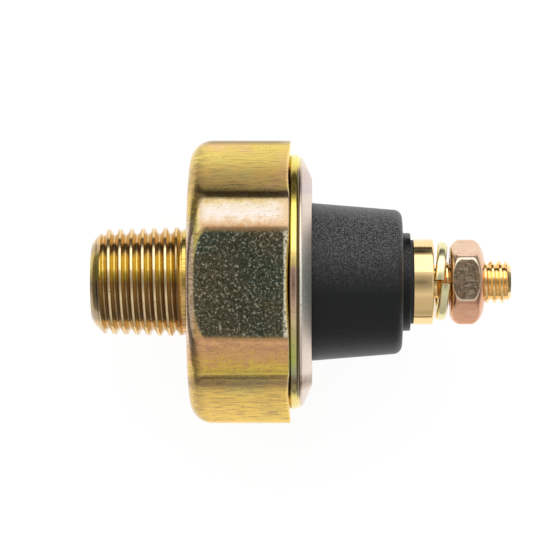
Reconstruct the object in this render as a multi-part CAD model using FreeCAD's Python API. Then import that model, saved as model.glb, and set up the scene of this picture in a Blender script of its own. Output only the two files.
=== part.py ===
"""Oil pressure sender with a screw terminal.

A hexagonal steel body carries a tapered port thread at one end. At the other its rim is rolled
over the flange of a moulded insulator, which holds a brass terminal stud. Inside, oil pressure
bows a diaphragm, and the plunger on it lifts a contact bridge off three fixed contacts.

Sizes are in millimetres. A station is a distance along the axis, counted from the tip of the
port thread towards the terminal. The finished sender lies on one flat of its hexagon with the
axis along +X, and the origin is under the middle of its length.
"""
import FreeCAD, Part
import math
import os

# Port spigot: a short right-hand taper thread that runs out into a plain band
port_thread_major = 10.0
port_taper = 1.0 / 16.0
port_thread_length = 8.45
port_thread_pitch = 1.03
port_thread_depth = 0.52
port_thread_angle = 60.0
port_thread_root_width = 0.12
port_thread_crest_station = 0.75
port_thread_fade_angle = 30.0
port_gauge_length = 6.5
port_tip_chamfer = 1.15
port_runout_length = 0.6
port_runout_diameter = 9.75
inlet_bore_diameter = 3.5
inlet_mouth_chamfer = 0.35
inlet_drill_angle = 118.0
orifice_diameter = 1.2
orifice_length = 1.6

# Hexagon
hex_across_flats = 24.0
hex_corner_diameter = 26.0
hex_length = 9.15
hex_corner_rounding = 2.0
hex_face_rounding = 1.2
hex_rear_chamfer = 0.25

# Rim, rolled over the insulator's flange as a lip
rim_straight_length = 0.9
rim_wall = 1.5
lip_height = 1.05
lip_slope = 65.0
lip_reach = 2.2
lip_nose_gap = 0.625
lip_thickness = 1.1
lip_shoulder_rounding = 0.25
lip_end_rounding = 0.15
lip_mouth_rounding = 0.3

# Pressure chamber and seal groove in the floor of the cup
chamber_land = 0.9
chamber_depth = 0.7
seal_groove_land = 0.5
seal_groove_width = 1.5
seal_groove_depth = 0.9
seal_ring_width = 1.2
seal_ring_rounding = 0.44

# Diaphragm and the stack that clamps its rim
stack_side_clearance = 0.05
diaphragm_thickness = 0.25
corrugation_side_room = 0.2
corrugation_height = 0.6
corrugation_rounding = 0.4
spacer_height = 1.5
spacer_wall = 2.55
contact_plate_thickness = 0.6

# Plunger: thrust plate, pusher and contact bridge
plunger_lift = 0.5
plunger_stop_clearance = 0.02
plunger_side_room = 2.6
thrust_plate_thickness = 0.6
pusher_flange_diameter = 5.0
pusher_stem_diameter = 2.8
pusher_stem_clearance = 0.3
pusher_spigot_diameter = 1.6
pusher_edge_rounding = 0.15
bridge_diameter = 8.8
bridge_thickness = 0.4
bridge_crown_diameter = 4.6
bridge_crown_height = 0.5

# Fixed contacts, riveted through the contact plate
contact_count = 3
contact_circle_diameter = 7.0
contact_head_diameter = 1.3
contact_head_height = 0.4
contact_shank_diameter = 0.7
contact_tail_diameter = 1.1
contact_tail_height = 0.2

# Return spring
spring_wire_diameter = 0.5
spring_mean_diameter = 6.0
spring_turns = 5.0

# Insulator
insulator_flange_thickness = 3.2
gasket_thickness = 0.4
gasket_setback = 0.15
insulator_nose_base_diameter = 14.75
insulator_nose_end_diameter = 13.15
insulator_nose_length = 9.75
insulator_end_rounding = 0.8
insulator_boss_diameter = 9.0
insulator_boss_height = 0.75
insulator_cavity_diameter = 10.4
insulator_cavity_depth = 6.55
insulator_cavity_rounding = 0.5
notch_width = 1.6
notch_depth = 0.7
notch_angle = 52.0

# Terminal stud and what it clamps
terminal_seal_diameter = 7.7
terminal_seal_thickness = 0.25
stud_collar_diameter = 7.9
stud_collar_length = 1.85
stud_collar_rounding = 0.2
stud_undercut_diameter = 3.36
stud_undercut_length = 0.35
stud_thread_diameter = 3.9
stud_thread_length = 6.75
stud_tip_chamfer = 0.45
stud_shank_diameter = 3.2
stud_shank_clearance = 0.05
stud_rivet_diameter = 4.6
stud_rivet_height = 0.5
stud_rivet_rounding = 0.3
backing_washer_diameter = 7.4
backing_washer_thickness = 0.5

# Split spring washer, not yet pressed flat, so it stands open and a little tilted on the stud
lock_washer_bore = 4.4
lock_washer_diameter = 7.24
lock_washer_thickness = 0.88
lock_washer_rise = 0.58
lock_washer_gap_angle = 5.0
lock_washer_tilt = 4.3
lock_washer_side_play = 0.08
lock_washer_end_clearance = 0.05

# Terminal nut
nut_across_flats = 6.9
nut_corner_diameter = 7.8
nut_thickness = 3.1
nut_bearing_diameter = 6.4
nut_inner_dome_length = 0.65
nut_inner_dome_rounding = 1.0
nut_outer_dome_length = 0.7
nut_outer_dome_rounding = 1.1
nut_outer_face_diameter = 5.6
nut_bore_clearance = 0.05
nut_bore_chamfer = 0.3
nut_turn_angle = 5.0
nut_end_clearance = 0.04

# Stations along the axis, from the tip of the port thread
hex_front = port_thread_length + port_runout_length
hex_rear = hex_front + hex_length
rim_shoulder = hex_rear + rim_straight_length
lip_top = rim_shoulder + lip_height
lip_underside = lip_top - lip_thickness
flange_top = lip_underside - gasket_thickness
contact_plate_top = flange_top - insulator_flange_thickness
spacer_top = contact_plate_top - contact_plate_thickness
diaphragm_top = spacer_top - spacer_height
cup_floor = diaphragm_top - diaphragm_thickness
chamber_floor = cup_floor - chamber_depth
bore_end = chamber_floor - orifice_length
thrust_plate_top = diaphragm_top + thrust_plate_thickness
pusher_flange_top = spacer_top - plunger_lift - plunger_stop_clearance
bridge_bottom = contact_plate_top + contact_head_height
bridge_top = bridge_bottom + bridge_thickness
crown_top = bridge_top + bridge_crown_height
crown_roof = crown_top - bridge_thickness
cavity_roof = contact_plate_top + insulator_cavity_depth
backing_washer_bottom = cavity_roof - backing_washer_thickness
nose_end = flange_top + insulator_nose_length
boss_top = nose_end + insulator_boss_height
seal_top = boss_top + terminal_seal_thickness
collar_top = seal_top + stud_collar_length
thread_start = collar_top + stud_undercut_length
stud_tip = thread_start + stud_thread_length
washer_start = collar_top + lock_washer_end_clearance
washer_end = washer_start + lock_washer_rise + lock_washer_thickness
nut_start = washer_end + nut_end_clearance
nut_end = nut_start + nut_thickness

# Radii that several pieces share
lip_mouth_radius = insulator_nose_base_diameter / 2 + lip_nose_gap
cup_radius = lip_mouth_radius + lip_reach
rim_radius = cup_radius + rim_wall
stack_radius = cup_radius - stack_side_clearance
seal_groove_outer_radius = cup_radius - seal_groove_land
seal_groove_inner_radius = seal_groove_outer_radius - seal_groove_width
chamber_radius = seal_groove_inner_radius - chamber_land
spacer_bore_radius = stack_radius - spacer_wall
thrust_plate_radius = spacer_bore_radius - plunger_side_room
shank_bore_radius = stud_shank_diameter / 2 + stud_shank_clearance

# How far cutting shapes reach past what they cut, and the thread's groove past its crests
OVERRUN = 2.0
GROOVE_OVERRUN = 0.1

AXIS = FreeCAD.Vector(1, 0, 0)
UP = FreeCAD.Vector(0, 0, 1)


def at(station, radius, angle=0.0):
    """Point at a station and radius; the angle turns from +Z towards +Y in degrees."""
    turn = math.radians(angle)
    return FreeCAD.Vector(station, radius * math.sin(turn), radius * math.cos(turn))


def rounded_outline(corners):
    """Closed wire through (station, radius) corners; a third value rounds its corner."""
    places = [at(corner[0], corner[1]) for corner in corners]
    arcs = []
    for index, (place, corner) in enumerate(zip(places, corners)):
        rounding = corner[2] if len(corner) > 2 else 0.0
        back = (places[index - 1] - place).normalize()
        onward = (places[(index + 1) % len(places)] - place).normalize()
        half = back.getAngle(onward) / 2
        if rounding:
            reach = rounding / math.tan(half)
            inward = (back + onward).normalize() * (rounding / math.sin(half) - rounding)
            arcs.append((place + back * reach, place + inward, place + onward * reach))
        else:
            arcs.append((place, None, place))
    edges = []
    for index, (start, middle, end) in enumerate(arcs):
        if middle:
            edges.append(Part.Arc(start, middle, end).toShape())
        following = arcs[(index + 1) % len(arcs)][0]
        if not end.isEqual(following, 1e-6):
            edges.append(Part.LineSegment(end, following).toShape())
    return Part.Wire(edges)


def turned(*corners):
    """Solid turned about the axis from an outline in the half plane above it."""
    return Part.Face(rounded_outline(corners)).revolve(FreeCAD.Vector(), AXIS, 360)


def tube(start, end, inner_radius, outer_radius):
    """Plain ring between two stations."""
    return turned((start, inner_radius), (end, inner_radius), (end, outer_radius), (start, outer_radius))


def rod(start, end, radius, offset=0.0, angle=0.0):
    """Cylinder along the axis between two stations, set off from the axis at an angle."""
    return Part.makeCylinder(radius, end - start, at(start, offset, angle), AXIS)


def spun(shape, angle):
    """Copy of a shape turned about the axis, from +Z towards +Y for a positive angle."""
    copy = shape.copy()
    copy.rotate(FreeCAD.Vector(), AXIS, -angle)
    return copy


def hex_prism(across_flats, start, end):
    """Hexagonal prism about the axis with one flat facing up."""
    corner = across_flats / 2 / math.cos(math.radians(30))
    corners = [at(start, corner, 30 + 60 * side) for side in range(7)]
    return Part.Face(Part.makePolygon(corners)).extrude(AXIS * (end - start))


def edges_at(shape, station):
    """The shape's edges that lie wholly at one station."""
    return [edge for edge in shape.Edges if edge.BoundBox.XLength < 1e-6 and
            abs(edge.CenterOfMass.x - station) < 1e-6]


def helix_about_axis(pitch, length, radius, start, left_handed=False, flare=0.0):
    """Helix wire of single turns from straight below a station; a flare in degrees widens it."""
    helix = Part.makeLongHelix(pitch, length, radius, flare, left_handed)
    helix.Placement = FreeCAD.Placement(at(start, 0), FreeCAD.Rotation(UP, AXIS))
    return Part.Wire(helix.Edges)


def swept_round_axis(path, section):
    """Solid swept along a helix round the axis, its section kept square to the axis."""
    shell = Part.BRepOffsetAPI.MakePipeShell(path)
    shell.setBiNormalMode(AXIS)
    shell.add(section, False, False)
    shell.build()
    shell.makeSolid()
    return shell.shape()


def port_crest_radius(station):
    """Radius over the taper thread's crests; it has its nominal size at the gauge length."""
    return port_thread_major / 2 + (station - port_gauge_length) * port_taper / 2


def port_thread_groove():
    """Groove wound round the crest cone; it starts before the tip and gets shallow at its end."""
    start = port_thread_crest_station - 2 * port_thread_pitch
    end = port_thread_length + port_thread_pitch
    flare = math.degrees(math.atan(port_taper / 2))
    path = helix_about_axis(port_thread_pitch, end - start, port_crest_radius(start), start, flare=flare)
    crest = path.OrderedVertexes[0].Point
    outward = (crest - at(start, 0)).normalize()
    root = port_thread_root_width / 2
    height = port_thread_depth + GROOVE_OVERRUN
    mouth = root + height * math.tan(math.radians(port_thread_angle / 2))
    floor = crest - outward * port_thread_depth
    roof = crest + outward * GROOVE_OVERRUN
    corners = [floor - AXIS * root, floor + AXIS * root, roof + AXIS * mouth, roof - AXIS * mouth]
    groove = swept_round_axis(path, Part.makePolygon(corners + corners[:1]))
    last_crest = port_crest_radius(port_thread_length)
    left_whole = turned(
        (port_thread_length - last_crest / math.tan(math.radians(port_thread_fade_angle)), 0),
        (port_thread_length, last_crest),
        (port_thread_length, rim_radius),
        (end + OVERRUN, rim_radius),
        (end + OVERRUN, 0),
    )
    return groove.cut(left_whole)


def hex_body():
    """Steel body in one piece: spigot, hexagon and cup, its rim rolled over the flange."""
    chamfer_radius = port_crest_radius(port_tip_chamfer)
    corner_radius = hex_corner_diameter / 2
    lip_end_radius = rim_radius - lip_height * math.tan(math.radians(lip_slope))
    blank = turned(
        (0, 0),
        (0, chamfer_radius - port_tip_chamfer),
        (port_tip_chamfer, chamfer_radius),
        (port_thread_length, port_crest_radius(port_thread_length)),
        (port_thread_length, port_runout_diameter / 2),
        (hex_front, port_runout_diameter / 2),
        (hex_front, corner_radius, hex_corner_rounding),
        (hex_rear, corner_radius),
        (hex_rear, rim_radius),
        (rim_shoulder, rim_radius, lip_shoulder_rounding),
        (lip_top, lip_end_radius, lip_end_rounding),
        (lip_top, 0),
    )
    prism = hex_prism(hex_across_flats, hex_front, hex_rear)
    prism = prism.makeFillet(hex_face_rounding, edges_at(prism, hex_front))
    prism = prism.makeChamfer(hex_rear_chamfer, edges_at(prism, hex_rear))
    beyond_flats = tube(hex_front, hex_rear, rim_radius - OVERRUN, corner_radius + OVERRUN)
    return blank.cut(beyond_flats.cut(prism)).cut(port_thread_groove()).cut(body_hollows())


def body_hollows():
    """Inlet bore, orifice, pressure chamber, seal groove and cup as one cutting shape."""
    bore = inlet_bore_diameter / 2
    orifice = orifice_diameter / 2
    drill_point = (bore - orifice) / math.tan(math.radians(inlet_drill_angle / 2))
    passage = turned(
        (-OVERRUN, 0),
        (-OVERRUN, bore + inlet_mouth_chamfer),
        (0, bore + inlet_mouth_chamfer),
        (inlet_mouth_chamfer, bore),
        (bore_end - drill_point, bore),
        (bore_end, orifice),
        (chamber_floor, orifice),
        (chamber_floor, chamber_radius),
        (cup_floor, chamber_radius),
        (cup_floor, cup_radius),
        (lip_underside, cup_radius),
        (lip_underside, lip_mouth_radius),
        (lip_top - lip_mouth_rounding, lip_mouth_radius),
        (lip_top, lip_mouth_radius + lip_mouth_rounding),
        (lip_top + OVERRUN, lip_mouth_radius + lip_mouth_rounding),
        (lip_top + OVERRUN, 0),
    )
    inner, outer = seal_groove_inner_radius, seal_groove_outer_radius
    return passage.fuse(tube(cup_floor - seal_groove_depth, cup_floor, inner, outer))


def seal_ring():
    """Rubber ring in the groove, squeezed between its floor and the diaphragm."""
    bottom, top = cup_floor - seal_groove_depth, cup_floor
    centre = (seal_groove_inner_radius + seal_groove_outer_radius) / 2
    inner, outer = centre - seal_ring_width / 2, centre + seal_ring_width / 2
    corners = [(bottom, inner), (top, inner), (top, outer), (bottom, outer)]
    return turned(*[corner + (seal_ring_rounding,) for corner in corners])


def diaphragm():
    """Thin round film with one ring corrugation that lets its middle rise."""
    foot_inner = thrust_plate_radius + corrugation_side_room
    foot_outer = spacer_bore_radius - corrugation_side_room
    crest = (foot_inner + foot_outer) / 2
    soft = corrugation_rounding
    return turned(
        (cup_floor, 0),
        (cup_floor, foot_inner, soft),
        (cup_floor + corrugation_height, crest, soft),
        (cup_floor, foot_outer, soft),
        (cup_floor, stack_radius),
        (diaphragm_top, stack_radius),
        (diaphragm_top, foot_outer, soft),
        (diaphragm_top + corrugation_height, crest, soft),
        (diaphragm_top, foot_inner, soft),
        (diaphragm_top, 0),
    )


def spacer_ring():
    """Steel ring that clamps the rim of the diaphragm and gives the plunger its room."""
    return tube(diaphragm_top, spacer_top, spacer_bore_radius, stack_radius)


def on_contact_circle(start, end, diameter):
    """One cylinder along the axis for each fixed contact."""
    offset = contact_circle_diameter / 2
    step = 360.0 / contact_count
    return [rod(start, end, diameter / 2, offset, step * number) for number in range(contact_count)]


def contact_plate():
    """Steel disc joined to the body, with the pusher's hole and the holes for the contacts."""
    guide = pusher_stem_diameter / 2 + pusher_stem_clearance
    plate = tube(spacer_top, contact_plate_top, guide, stack_radius)
    return plate.cut(on_contact_circle(spacer_top, contact_plate_top, contact_shank_diameter))


def fixed_contacts():
    """Contact rivets, each with a head, a shank in the plate and a spread tail below it."""
    tails = on_contact_circle(spacer_top - contact_tail_height, spacer_top, contact_tail_diameter)
    shanks = on_contact_circle(spacer_top, contact_plate_top, contact_shank_diameter)
    heads = on_contact_circle(contact_plate_top, bridge_bottom, contact_head_diameter)
    rivets = [tail.fuse([shank, head]) for tail, shank, head in zip(tails, shanks, heads)]
    return Part.makeCompound(rivets)


def thrust_plate():
    """Stiff disc on the middle of the diaphragm, with a hole that centres the pusher."""
    return tube(diaphragm_top, thrust_plate_top, pusher_spigot_diameter / 2, thrust_plate_radius)


def pusher():
    """Moulded pin: a spigot in the thrust plate, a stop flange and a stem up into the crown."""
    edge = pusher_edge_rounding
    return turned(
        (diaphragm_top, 0),
        (diaphragm_top, pusher_spigot_diameter / 2),
        (thrust_plate_top, pusher_spigot_diameter / 2),
        (thrust_plate_top, pusher_flange_diameter / 2),
        (pusher_flange_top, pusher_flange_diameter / 2, edge),
        (pusher_flange_top, pusher_stem_diameter / 2),
        (crown_roof, pusher_stem_diameter / 2, edge),
        (crown_roof, 0),
    )


def moving_contact():
    """Pressed bridge disc that rests on the contacts; its raised crown centres the spring."""
    crown = bridge_crown_diameter / 2
    hollow = crown - bridge_thickness
    return turned(
        (crown_roof, 0),
        (crown_roof, hollow),
        (bridge_bottom, hollow),
        (bridge_bottom, bridge_diameter / 2),
        (bridge_top, bridge_diameter / 2),
        (bridge_top, crown),
        (crown_top, crown, bridge_thickness / 2),
        (crown_top, 0),
    )


def contact_spring():
    """Coil spring from the bridge to the washer behind the stud, its open ends ground flat."""
    rise = backing_washer_bottom - bridge_top
    path = helix_about_axis(rise / spring_turns, rise, spring_mean_diameter / 2, bridge_top)
    first = path.OrderedEdges[0]
    place = path.OrderedVertexes[0].Point
    circle = Part.makeCircle(spring_wire_diameter / 2, place, first.tangentAt(first.FirstParameter))
    coil = swept_round_axis(path, Part.Wire(circle))
    return coil.common(rod(bridge_top, backing_washer_bottom, spring_mean_diameter))


def insulator():
    """Moulded insulator: flange under the rolled lip, tapered nose and notched boss."""
    cavity = insulator_cavity_diameter / 2
    boss = insulator_boss_diameter / 2
    moulding = turned(
        (contact_plate_top, cavity),
        (contact_plate_top, stack_radius),
        (flange_top, stack_radius),
        (flange_top, insulator_nose_base_diameter / 2),
        (nose_end, insulator_nose_end_diameter / 2, insulator_end_rounding),
        (nose_end, boss),
        (boss_top, boss),
        (boss_top, shank_bore_radius),
        (cavity_roof, shank_bore_radius),
        (cavity_roof, cavity, insulator_cavity_rounding),
    )
    notch_corner = FreeCAD.Vector(nose_end, -notch_width / 2, boss - notch_depth)
    notch = Part.makeBox(insulator_boss_height, notch_width, notch_depth + OVERRUN, notch_corner)
    return moulding.cut(spun(notch, notch_angle))


def rim_gasket():
    """Flat gasket between the insulator's flange and the rolled lip."""
    return tube(flange_top, lip_underside, lip_mouth_radius + gasket_setback, stack_radius)


def terminal_seal():
    """Thin sealing disc between the boss and the collar of the stud."""
    return tube(boss_top, seal_top, shank_bore_radius, terminal_seal_diameter / 2)


def terminal_stud():
    """Turned brass stud: riveted inner end, shank, collar, undercut and threaded end."""
    rivet = stud_rivet_diameter / 2
    rivet_end = backing_washer_bottom - stud_rivet_height
    shank = stud_shank_diameter / 2
    collar = stud_collar_diameter / 2
    thread = stud_thread_diameter / 2
    return turned(
        (rivet_end, 0),
        (rivet_end, rivet, stud_rivet_rounding),
        (backing_washer_bottom, rivet),
        (backing_washer_bottom, shank),
        (seal_top, shank),
        (seal_top, collar),
        (collar_top, collar, stud_collar_rounding),
        (collar_top, stud_undercut_diameter / 2),
        (thread_start, stud_undercut_diameter / 2),
        (thread_start, thread),
        (stud_tip - stud_tip_chamfer, thread),
        (stud_tip, thread - stud_tip_chamfer),
        (stud_tip, 0),
    )


def backing_washer():
    """Flat washer under the riveted end of the stud; the spring seats on its rim."""
    return tube(backing_washer_bottom, cavity_roof, shank_bore_radius, backing_washer_diameter / 2)


def spring_washer():
    """Split left-hand spring washer: one open turn of rectangular bar, tilted on the stud."""
    inner, outer = lock_washer_bore / 2, lock_washer_diameter / 2
    pitch = lock_washer_rise / (1 - lock_washer_gap_angle / 360)
    path = helix_about_axis(pitch, lock_washer_rise, outer, washer_start, left_handed=True)
    root = at(washer_start, 0)
    outward = (path.OrderedVertexes[0].Point - root).normalize()
    thickness = AXIS * lock_washer_thickness
    near, far = root + outward * inner, root + outward * outer
    ring = swept_round_axis(path, Part.makePolygon([near, far, far + thickness, near + thickness, near]))
    end_angle = math.degrees(math.atan2(outward.y, outward.z))
    ring = spun(ring, lock_washer_gap_angle / 2 - end_angle)
    ring.rotate(at((washer_start + washer_end) / 2, 0), UP, -lock_washer_tilt)
    ring.translate(FreeCAD.Vector(0, lock_washer_side_play, 0))
    return ring


def terminal_nut():
    """Hexagon nut, domed at both ends, a running fit over the crests of the stud's thread."""
    corner = nut_corner_diameter / 2
    bore = stud_thread_diameter / 2 + nut_bore_clearance
    dome = turned(
        (nut_start, bore + nut_bore_chamfer),
        (nut_start, nut_bearing_diameter / 2),
        (nut_start + nut_inner_dome_length, corner, nut_inner_dome_rounding),
        (nut_end - nut_outer_dome_length, corner, nut_outer_dome_rounding),
        (nut_end, nut_outer_face_diameter / 2),
        (nut_end, bore + nut_bore_chamfer),
        (nut_end - nut_bore_chamfer, bore),
        (nut_start + nut_bore_chamfer, bore),
    )
    return dome.common(spun(hex_prism(nut_across_flats, nut_start, nut_end), nut_turn_angle))


PIECES = [
    hex_body,
    seal_ring,
    diaphragm,
    spacer_ring,
    contact_plate,
    fixed_contacts,
    thrust_plate,
    pusher,
    moving_contact,
    contact_spring,
    insulator,
    rim_gasket,
    terminal_seal,
    terminal_stud,
    backing_washer,
    spring_washer,
    terminal_nut,
]


def main():
    """Build every piece, lay it where the sender rests and write it to its own file."""
    os.makedirs("parts", exist_ok=True)
    to_rest = FreeCAD.Vector(-stud_tip / 2, 0, hex_across_flats / 2)
    for build in PIECES:
        piece = build()
        piece.translate(to_rest)
        piece.exportStep(f"parts/{build.__name__}.step")


main()
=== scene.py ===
"""Looks of an oil pressure sender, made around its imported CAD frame.

A station is a distance along the sender's axis from the tip of its port thread, and an angle
turns about that axis from straight up towards +Y. The pieces' stations and sizes are in
millimetres, and those of the finishes and the studio in metres. Every mesh is a surface of two
parameters on a grid, put into the frame in metres by Axis.place.
"""

import logging
import math
from collections.abc import Sequence
from dataclasses import dataclass
from enum import Enum
from functools import reduce

import bmesh
import bpy
import numpy as np
from mathutils import Matrix, Vector

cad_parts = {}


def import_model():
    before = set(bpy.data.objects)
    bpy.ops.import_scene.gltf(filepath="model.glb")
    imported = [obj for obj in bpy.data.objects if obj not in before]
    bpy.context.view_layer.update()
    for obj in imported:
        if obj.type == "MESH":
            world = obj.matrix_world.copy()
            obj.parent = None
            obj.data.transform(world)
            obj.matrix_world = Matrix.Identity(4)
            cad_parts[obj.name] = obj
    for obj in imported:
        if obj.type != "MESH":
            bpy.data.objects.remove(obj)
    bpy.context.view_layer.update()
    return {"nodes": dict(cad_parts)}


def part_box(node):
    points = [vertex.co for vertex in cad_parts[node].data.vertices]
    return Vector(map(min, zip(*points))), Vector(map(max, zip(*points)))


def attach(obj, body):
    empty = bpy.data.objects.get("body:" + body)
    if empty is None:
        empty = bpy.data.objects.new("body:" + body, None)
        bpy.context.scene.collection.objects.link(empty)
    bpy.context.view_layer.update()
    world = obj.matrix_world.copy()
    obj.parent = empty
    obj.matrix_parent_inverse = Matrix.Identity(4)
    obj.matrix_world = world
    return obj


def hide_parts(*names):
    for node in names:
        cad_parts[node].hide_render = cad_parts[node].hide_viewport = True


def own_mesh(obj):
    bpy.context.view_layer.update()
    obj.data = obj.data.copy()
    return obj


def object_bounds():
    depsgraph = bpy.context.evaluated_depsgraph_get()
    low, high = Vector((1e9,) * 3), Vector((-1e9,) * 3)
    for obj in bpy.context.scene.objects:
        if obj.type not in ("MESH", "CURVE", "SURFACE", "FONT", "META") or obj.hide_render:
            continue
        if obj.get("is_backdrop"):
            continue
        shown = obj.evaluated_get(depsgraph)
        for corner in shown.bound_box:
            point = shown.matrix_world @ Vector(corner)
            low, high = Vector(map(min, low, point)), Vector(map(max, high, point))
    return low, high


LOG = logging.getLogger("sender")

MM = 0.001
FULL_TURN = 2 * math.pi
# Distance in metres under which two points are one
MERGE_DISTANCE = 4e-7
SHARP_ANGLE = math.radians(32)
# Angle in radians between the two columns of a step in a radius
CLOSE_RING = 1e-4
# Inputs and output of a colour mix node, which share their names with those of other kinds
MIX_FACTOR, MIX_FIRST, MIX_SECOND, MIX_RESULT = 0, 6, 7, 2
WHITE = (1.0, 1.0, 1.0, 1.0)
# Levels of a noise over which patches, a metal's grain and a moulding's grain set in
PATCH_LEVELS = (0.35, 0.70)
GRAIN_LEVELS = (0.3, 0.8)
MOULD_LEVELS = (0.3, 0.7)

Array = np.ndarray
Socket = bpy.types.NodeSocket
Colour = tuple[float, float, float]
# Two limits of a measure, and how softly they set in
Band = tuple[float, float, float]
# Range of a measure, and what it is carried to: 0 to 1 where that is left out
Slope = tuple[float, ...]
# Cells in a metre, octaves, weight of the finer octaves, and stretch where there is one
Grain = tuple[float | tuple[float, float, float], ...]


class Body(Enum):
    """CAD bodies that the pieces ride on."""

    HOUSING = "housing"
    WASHER = "washer"
    NUT = "nut"


class Hand(Enum):
    """Which way a helix winds: the sign of its turn about the axis as it advances."""

    RIGHT = -1
    LEFT = 1


@dataclass(frozen=True)
class Axis:
    """Line along +X that the sender's pieces are turned about.

    Attributes:
        tip: x of station zero, in metres.
        height: z of the line, in metres.
    """

    tip: float
    height: float

    def place(self, station: Array, radius: Array, angle: Array) -> Array:
        """Points in the frame from polar grids about the axis.

        x is the tip plus the station, y the radius times the sine of the angle, and z the
        axis height plus the radius times its cosine.

        Args:
            station: distances along the axis in millimetres.
            radius: distances from the axis in millimetres.
            angle: turns from straight up towards +Y in radians.

        Returns:
            Array whose last dimension holds x, y and z in metres.
        """
        station, radius, angle = np.broadcast_arrays(station, radius, angle)
        across = radius * np.sin(angle) * MM
        above = radius * np.cos(angle) * MM
        return np.stack([self.tip + station * MM, across, self.height + above], axis=-1)


def rounded(corners: Sequence[tuple[float, ...]], samples: int = 8) -> Array:
    """Points along a run of corners, some of them rounded.

    A rounded corner is an arc tangent to both its sides: unit vectors from the arc's centre to
    its two ends are blended by spherical interpolation.

    Args:
        corners: (station, radius) or (station, radius, rounding) in millimetres.
        samples: steps along each arc.

    Returns:
        Array of shape (points, 2) with stations and radii.
    """
    places = np.array([corner[:2] for corner in corners], float)
    runs = [places[:1]]
    for index in range(1, len(corners) - 1):
        place = places[index]
        rounding = corners[index][2] if len(corners[index]) > 2 else 0.0
        if not rounding:
            runs.append(place[None])
            continue
        back = places[index - 1] - place
        onward = places[index + 1] - place
        back = back / np.linalg.norm(back)
        onward = onward / np.linalg.norm(onward)
        half = math.acos(float(np.clip(back @ onward, -1, 1))) / 2
        middle = (back + onward) / np.linalg.norm(back + onward)
        centre = place + middle * rounding / math.sin(half)
        start = (place + back * rounding / math.tan(half) - centre) / rounding
        end = (place + onward * rounding / math.tan(half) - centre) / rounding
        sweep = math.pi - 2 * half
        share = np.linspace(0, 1, samples + 1)[:, None]
        blend = np.sin((1 - share) * sweep) * start + np.sin(share * sweep) * end
        runs.append(centre + rounding * blend / math.sin(sweep))
    runs.append(places[-1:])
    return np.concatenate(runs)


def ring_rows(outline: Array, columns: Array) -> tuple[Array, Array]:
    """Station and radius grids of an outline turned about the axis.

    Args:
        outline: (points, 2) stations and radii.
        columns: angles of the grid's columns.

    Returns:
        Two grids of shape (points, columns), the same at every angle.
    """
    shape = (len(outline), len(columns))
    return np.broadcast_to(outline[:, :1], shape), np.broadcast_to(outline[:, 1:], shape)


def stack(parts: Sequence[tuple[Array, Array]]) -> tuple[Array, Array]:
    """One pair of station and radius grids from several, row after row."""
    return np.concatenate([p[0] for p in parts]), np.concatenate([p[1] for p in parts])


def smooth_least(first: Array, second: Array, width: float) -> Array:
    """Lesser of two lengths with a soft change-over.

    Minus the width times the logarithm of the sum of exp(-length / width), which stays within
    0.7 widths of the true minimum.
    """
    return -width * np.logaddexp(-first / width, -second / width)


def sharp_hexagon(across_flats: float, angle: Array) -> Array:
    """Radius of a hexagon with a flat straight above.

    Half the width across flats over the cosine of the angle from the nearest flat's middle.

    Args:
        across_flats: width across flats.
        angle: angles in radians.

    Returns:
        Radii, in the unit of the width.
    """
    sector = FULL_TURN / 6
    from_flat = (angle + sector / 2) % sector - sector / 2
    return across_flats / 2 / np.cos(from_flat)


@dataclass(frozen=True)
class ThreadForm:
    """A 60 degree thread as a helical height field on a cone or cylinder.

    Attributes:
        pitch: advance in one turn.
        depth: height from root to crest.
        crest_at: station of a crest straight above the axis.
        crest_share: share of the pitch that the flat of a crest takes.
        root_share: share of the pitch that the flat of a root takes.
        straight: weight of the straight flank against the smooth step.
        hand: which way it winds.
        rows_per_turn: grid rows in one pitch.
    """

    pitch: float
    depth: float
    crest_at: float
    crest_share: float = 0.16
    root_share: float = 0.14
    straight: float = 0.6
    hand: Hand = Hand.RIGHT
    rows_per_turn: int = 16

    def below_crest(self, station: Array, angle: Array) -> Array:
        """How far the surface lies below the crests.

        The phase is the advance from a crest less the turn, in pitches, folded to 0 at a crest
        and 1/2 at a root. A smooth step between the two flats, mixed with a straight flank,
        gives the depth.

        Args:
            station: stations of the points.
            angle: their angles.

        Returns:
            Depths below the crest surface, from 0 to depth.
        """
        phase = (station - self.crest_at) / self.pitch - self.hand.value * angle / FULL_TURN
        folded = np.abs((phase + 0.5) % 1.0 - 0.5)
        flank = 0.5 - (self.crest_share + self.root_share) / 2
        rise = np.clip((folded - self.crest_share / 2) / flank, 0, 1)
        eased = rise * rise * (3 - 2 * rise)
        return self.depth * (self.straight * rise + (1 - self.straight) * eased)

    def stations(self, start: float, end: float, columns: Array) -> Array:
        """Stations of rows that follow the helix, cut square at both ends.

        A row's station is the pitch times its share of a turn plus the column's own turn, so a
        row keeps one phase of the thread, and values past an end are set to that end.

        Args:
            start: first station.
            end: last station.
            columns: angles of the columns.

        Returns:
            Grid of stations, rows by columns.
        """
        lead = self.hand.value * columns / FULL_TURN * self.pitch
        low = math.floor((start - self.crest_at - lead.max()) / self.pitch) - 1
        high = math.ceil((end - self.crest_at - lead.min()) / self.pitch) + 1
        steps = np.arange(low * self.rows_per_turn, high * self.rows_per_turn + 1)
        rows = self.crest_at + steps[:, None] * self.pitch / self.rows_per_turn + lead[None]
        return np.clip(rows, start, end)


def columns_around(count: int, extra: Sequence[float] = ()) -> Array:
    """Angles of a closed grid's columns: even from 0 to a full turn, and the extra ones."""
    return np.unique(np.concatenate([np.linspace(0, FULL_TURN, count + 1), np.array(extra)]))


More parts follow.
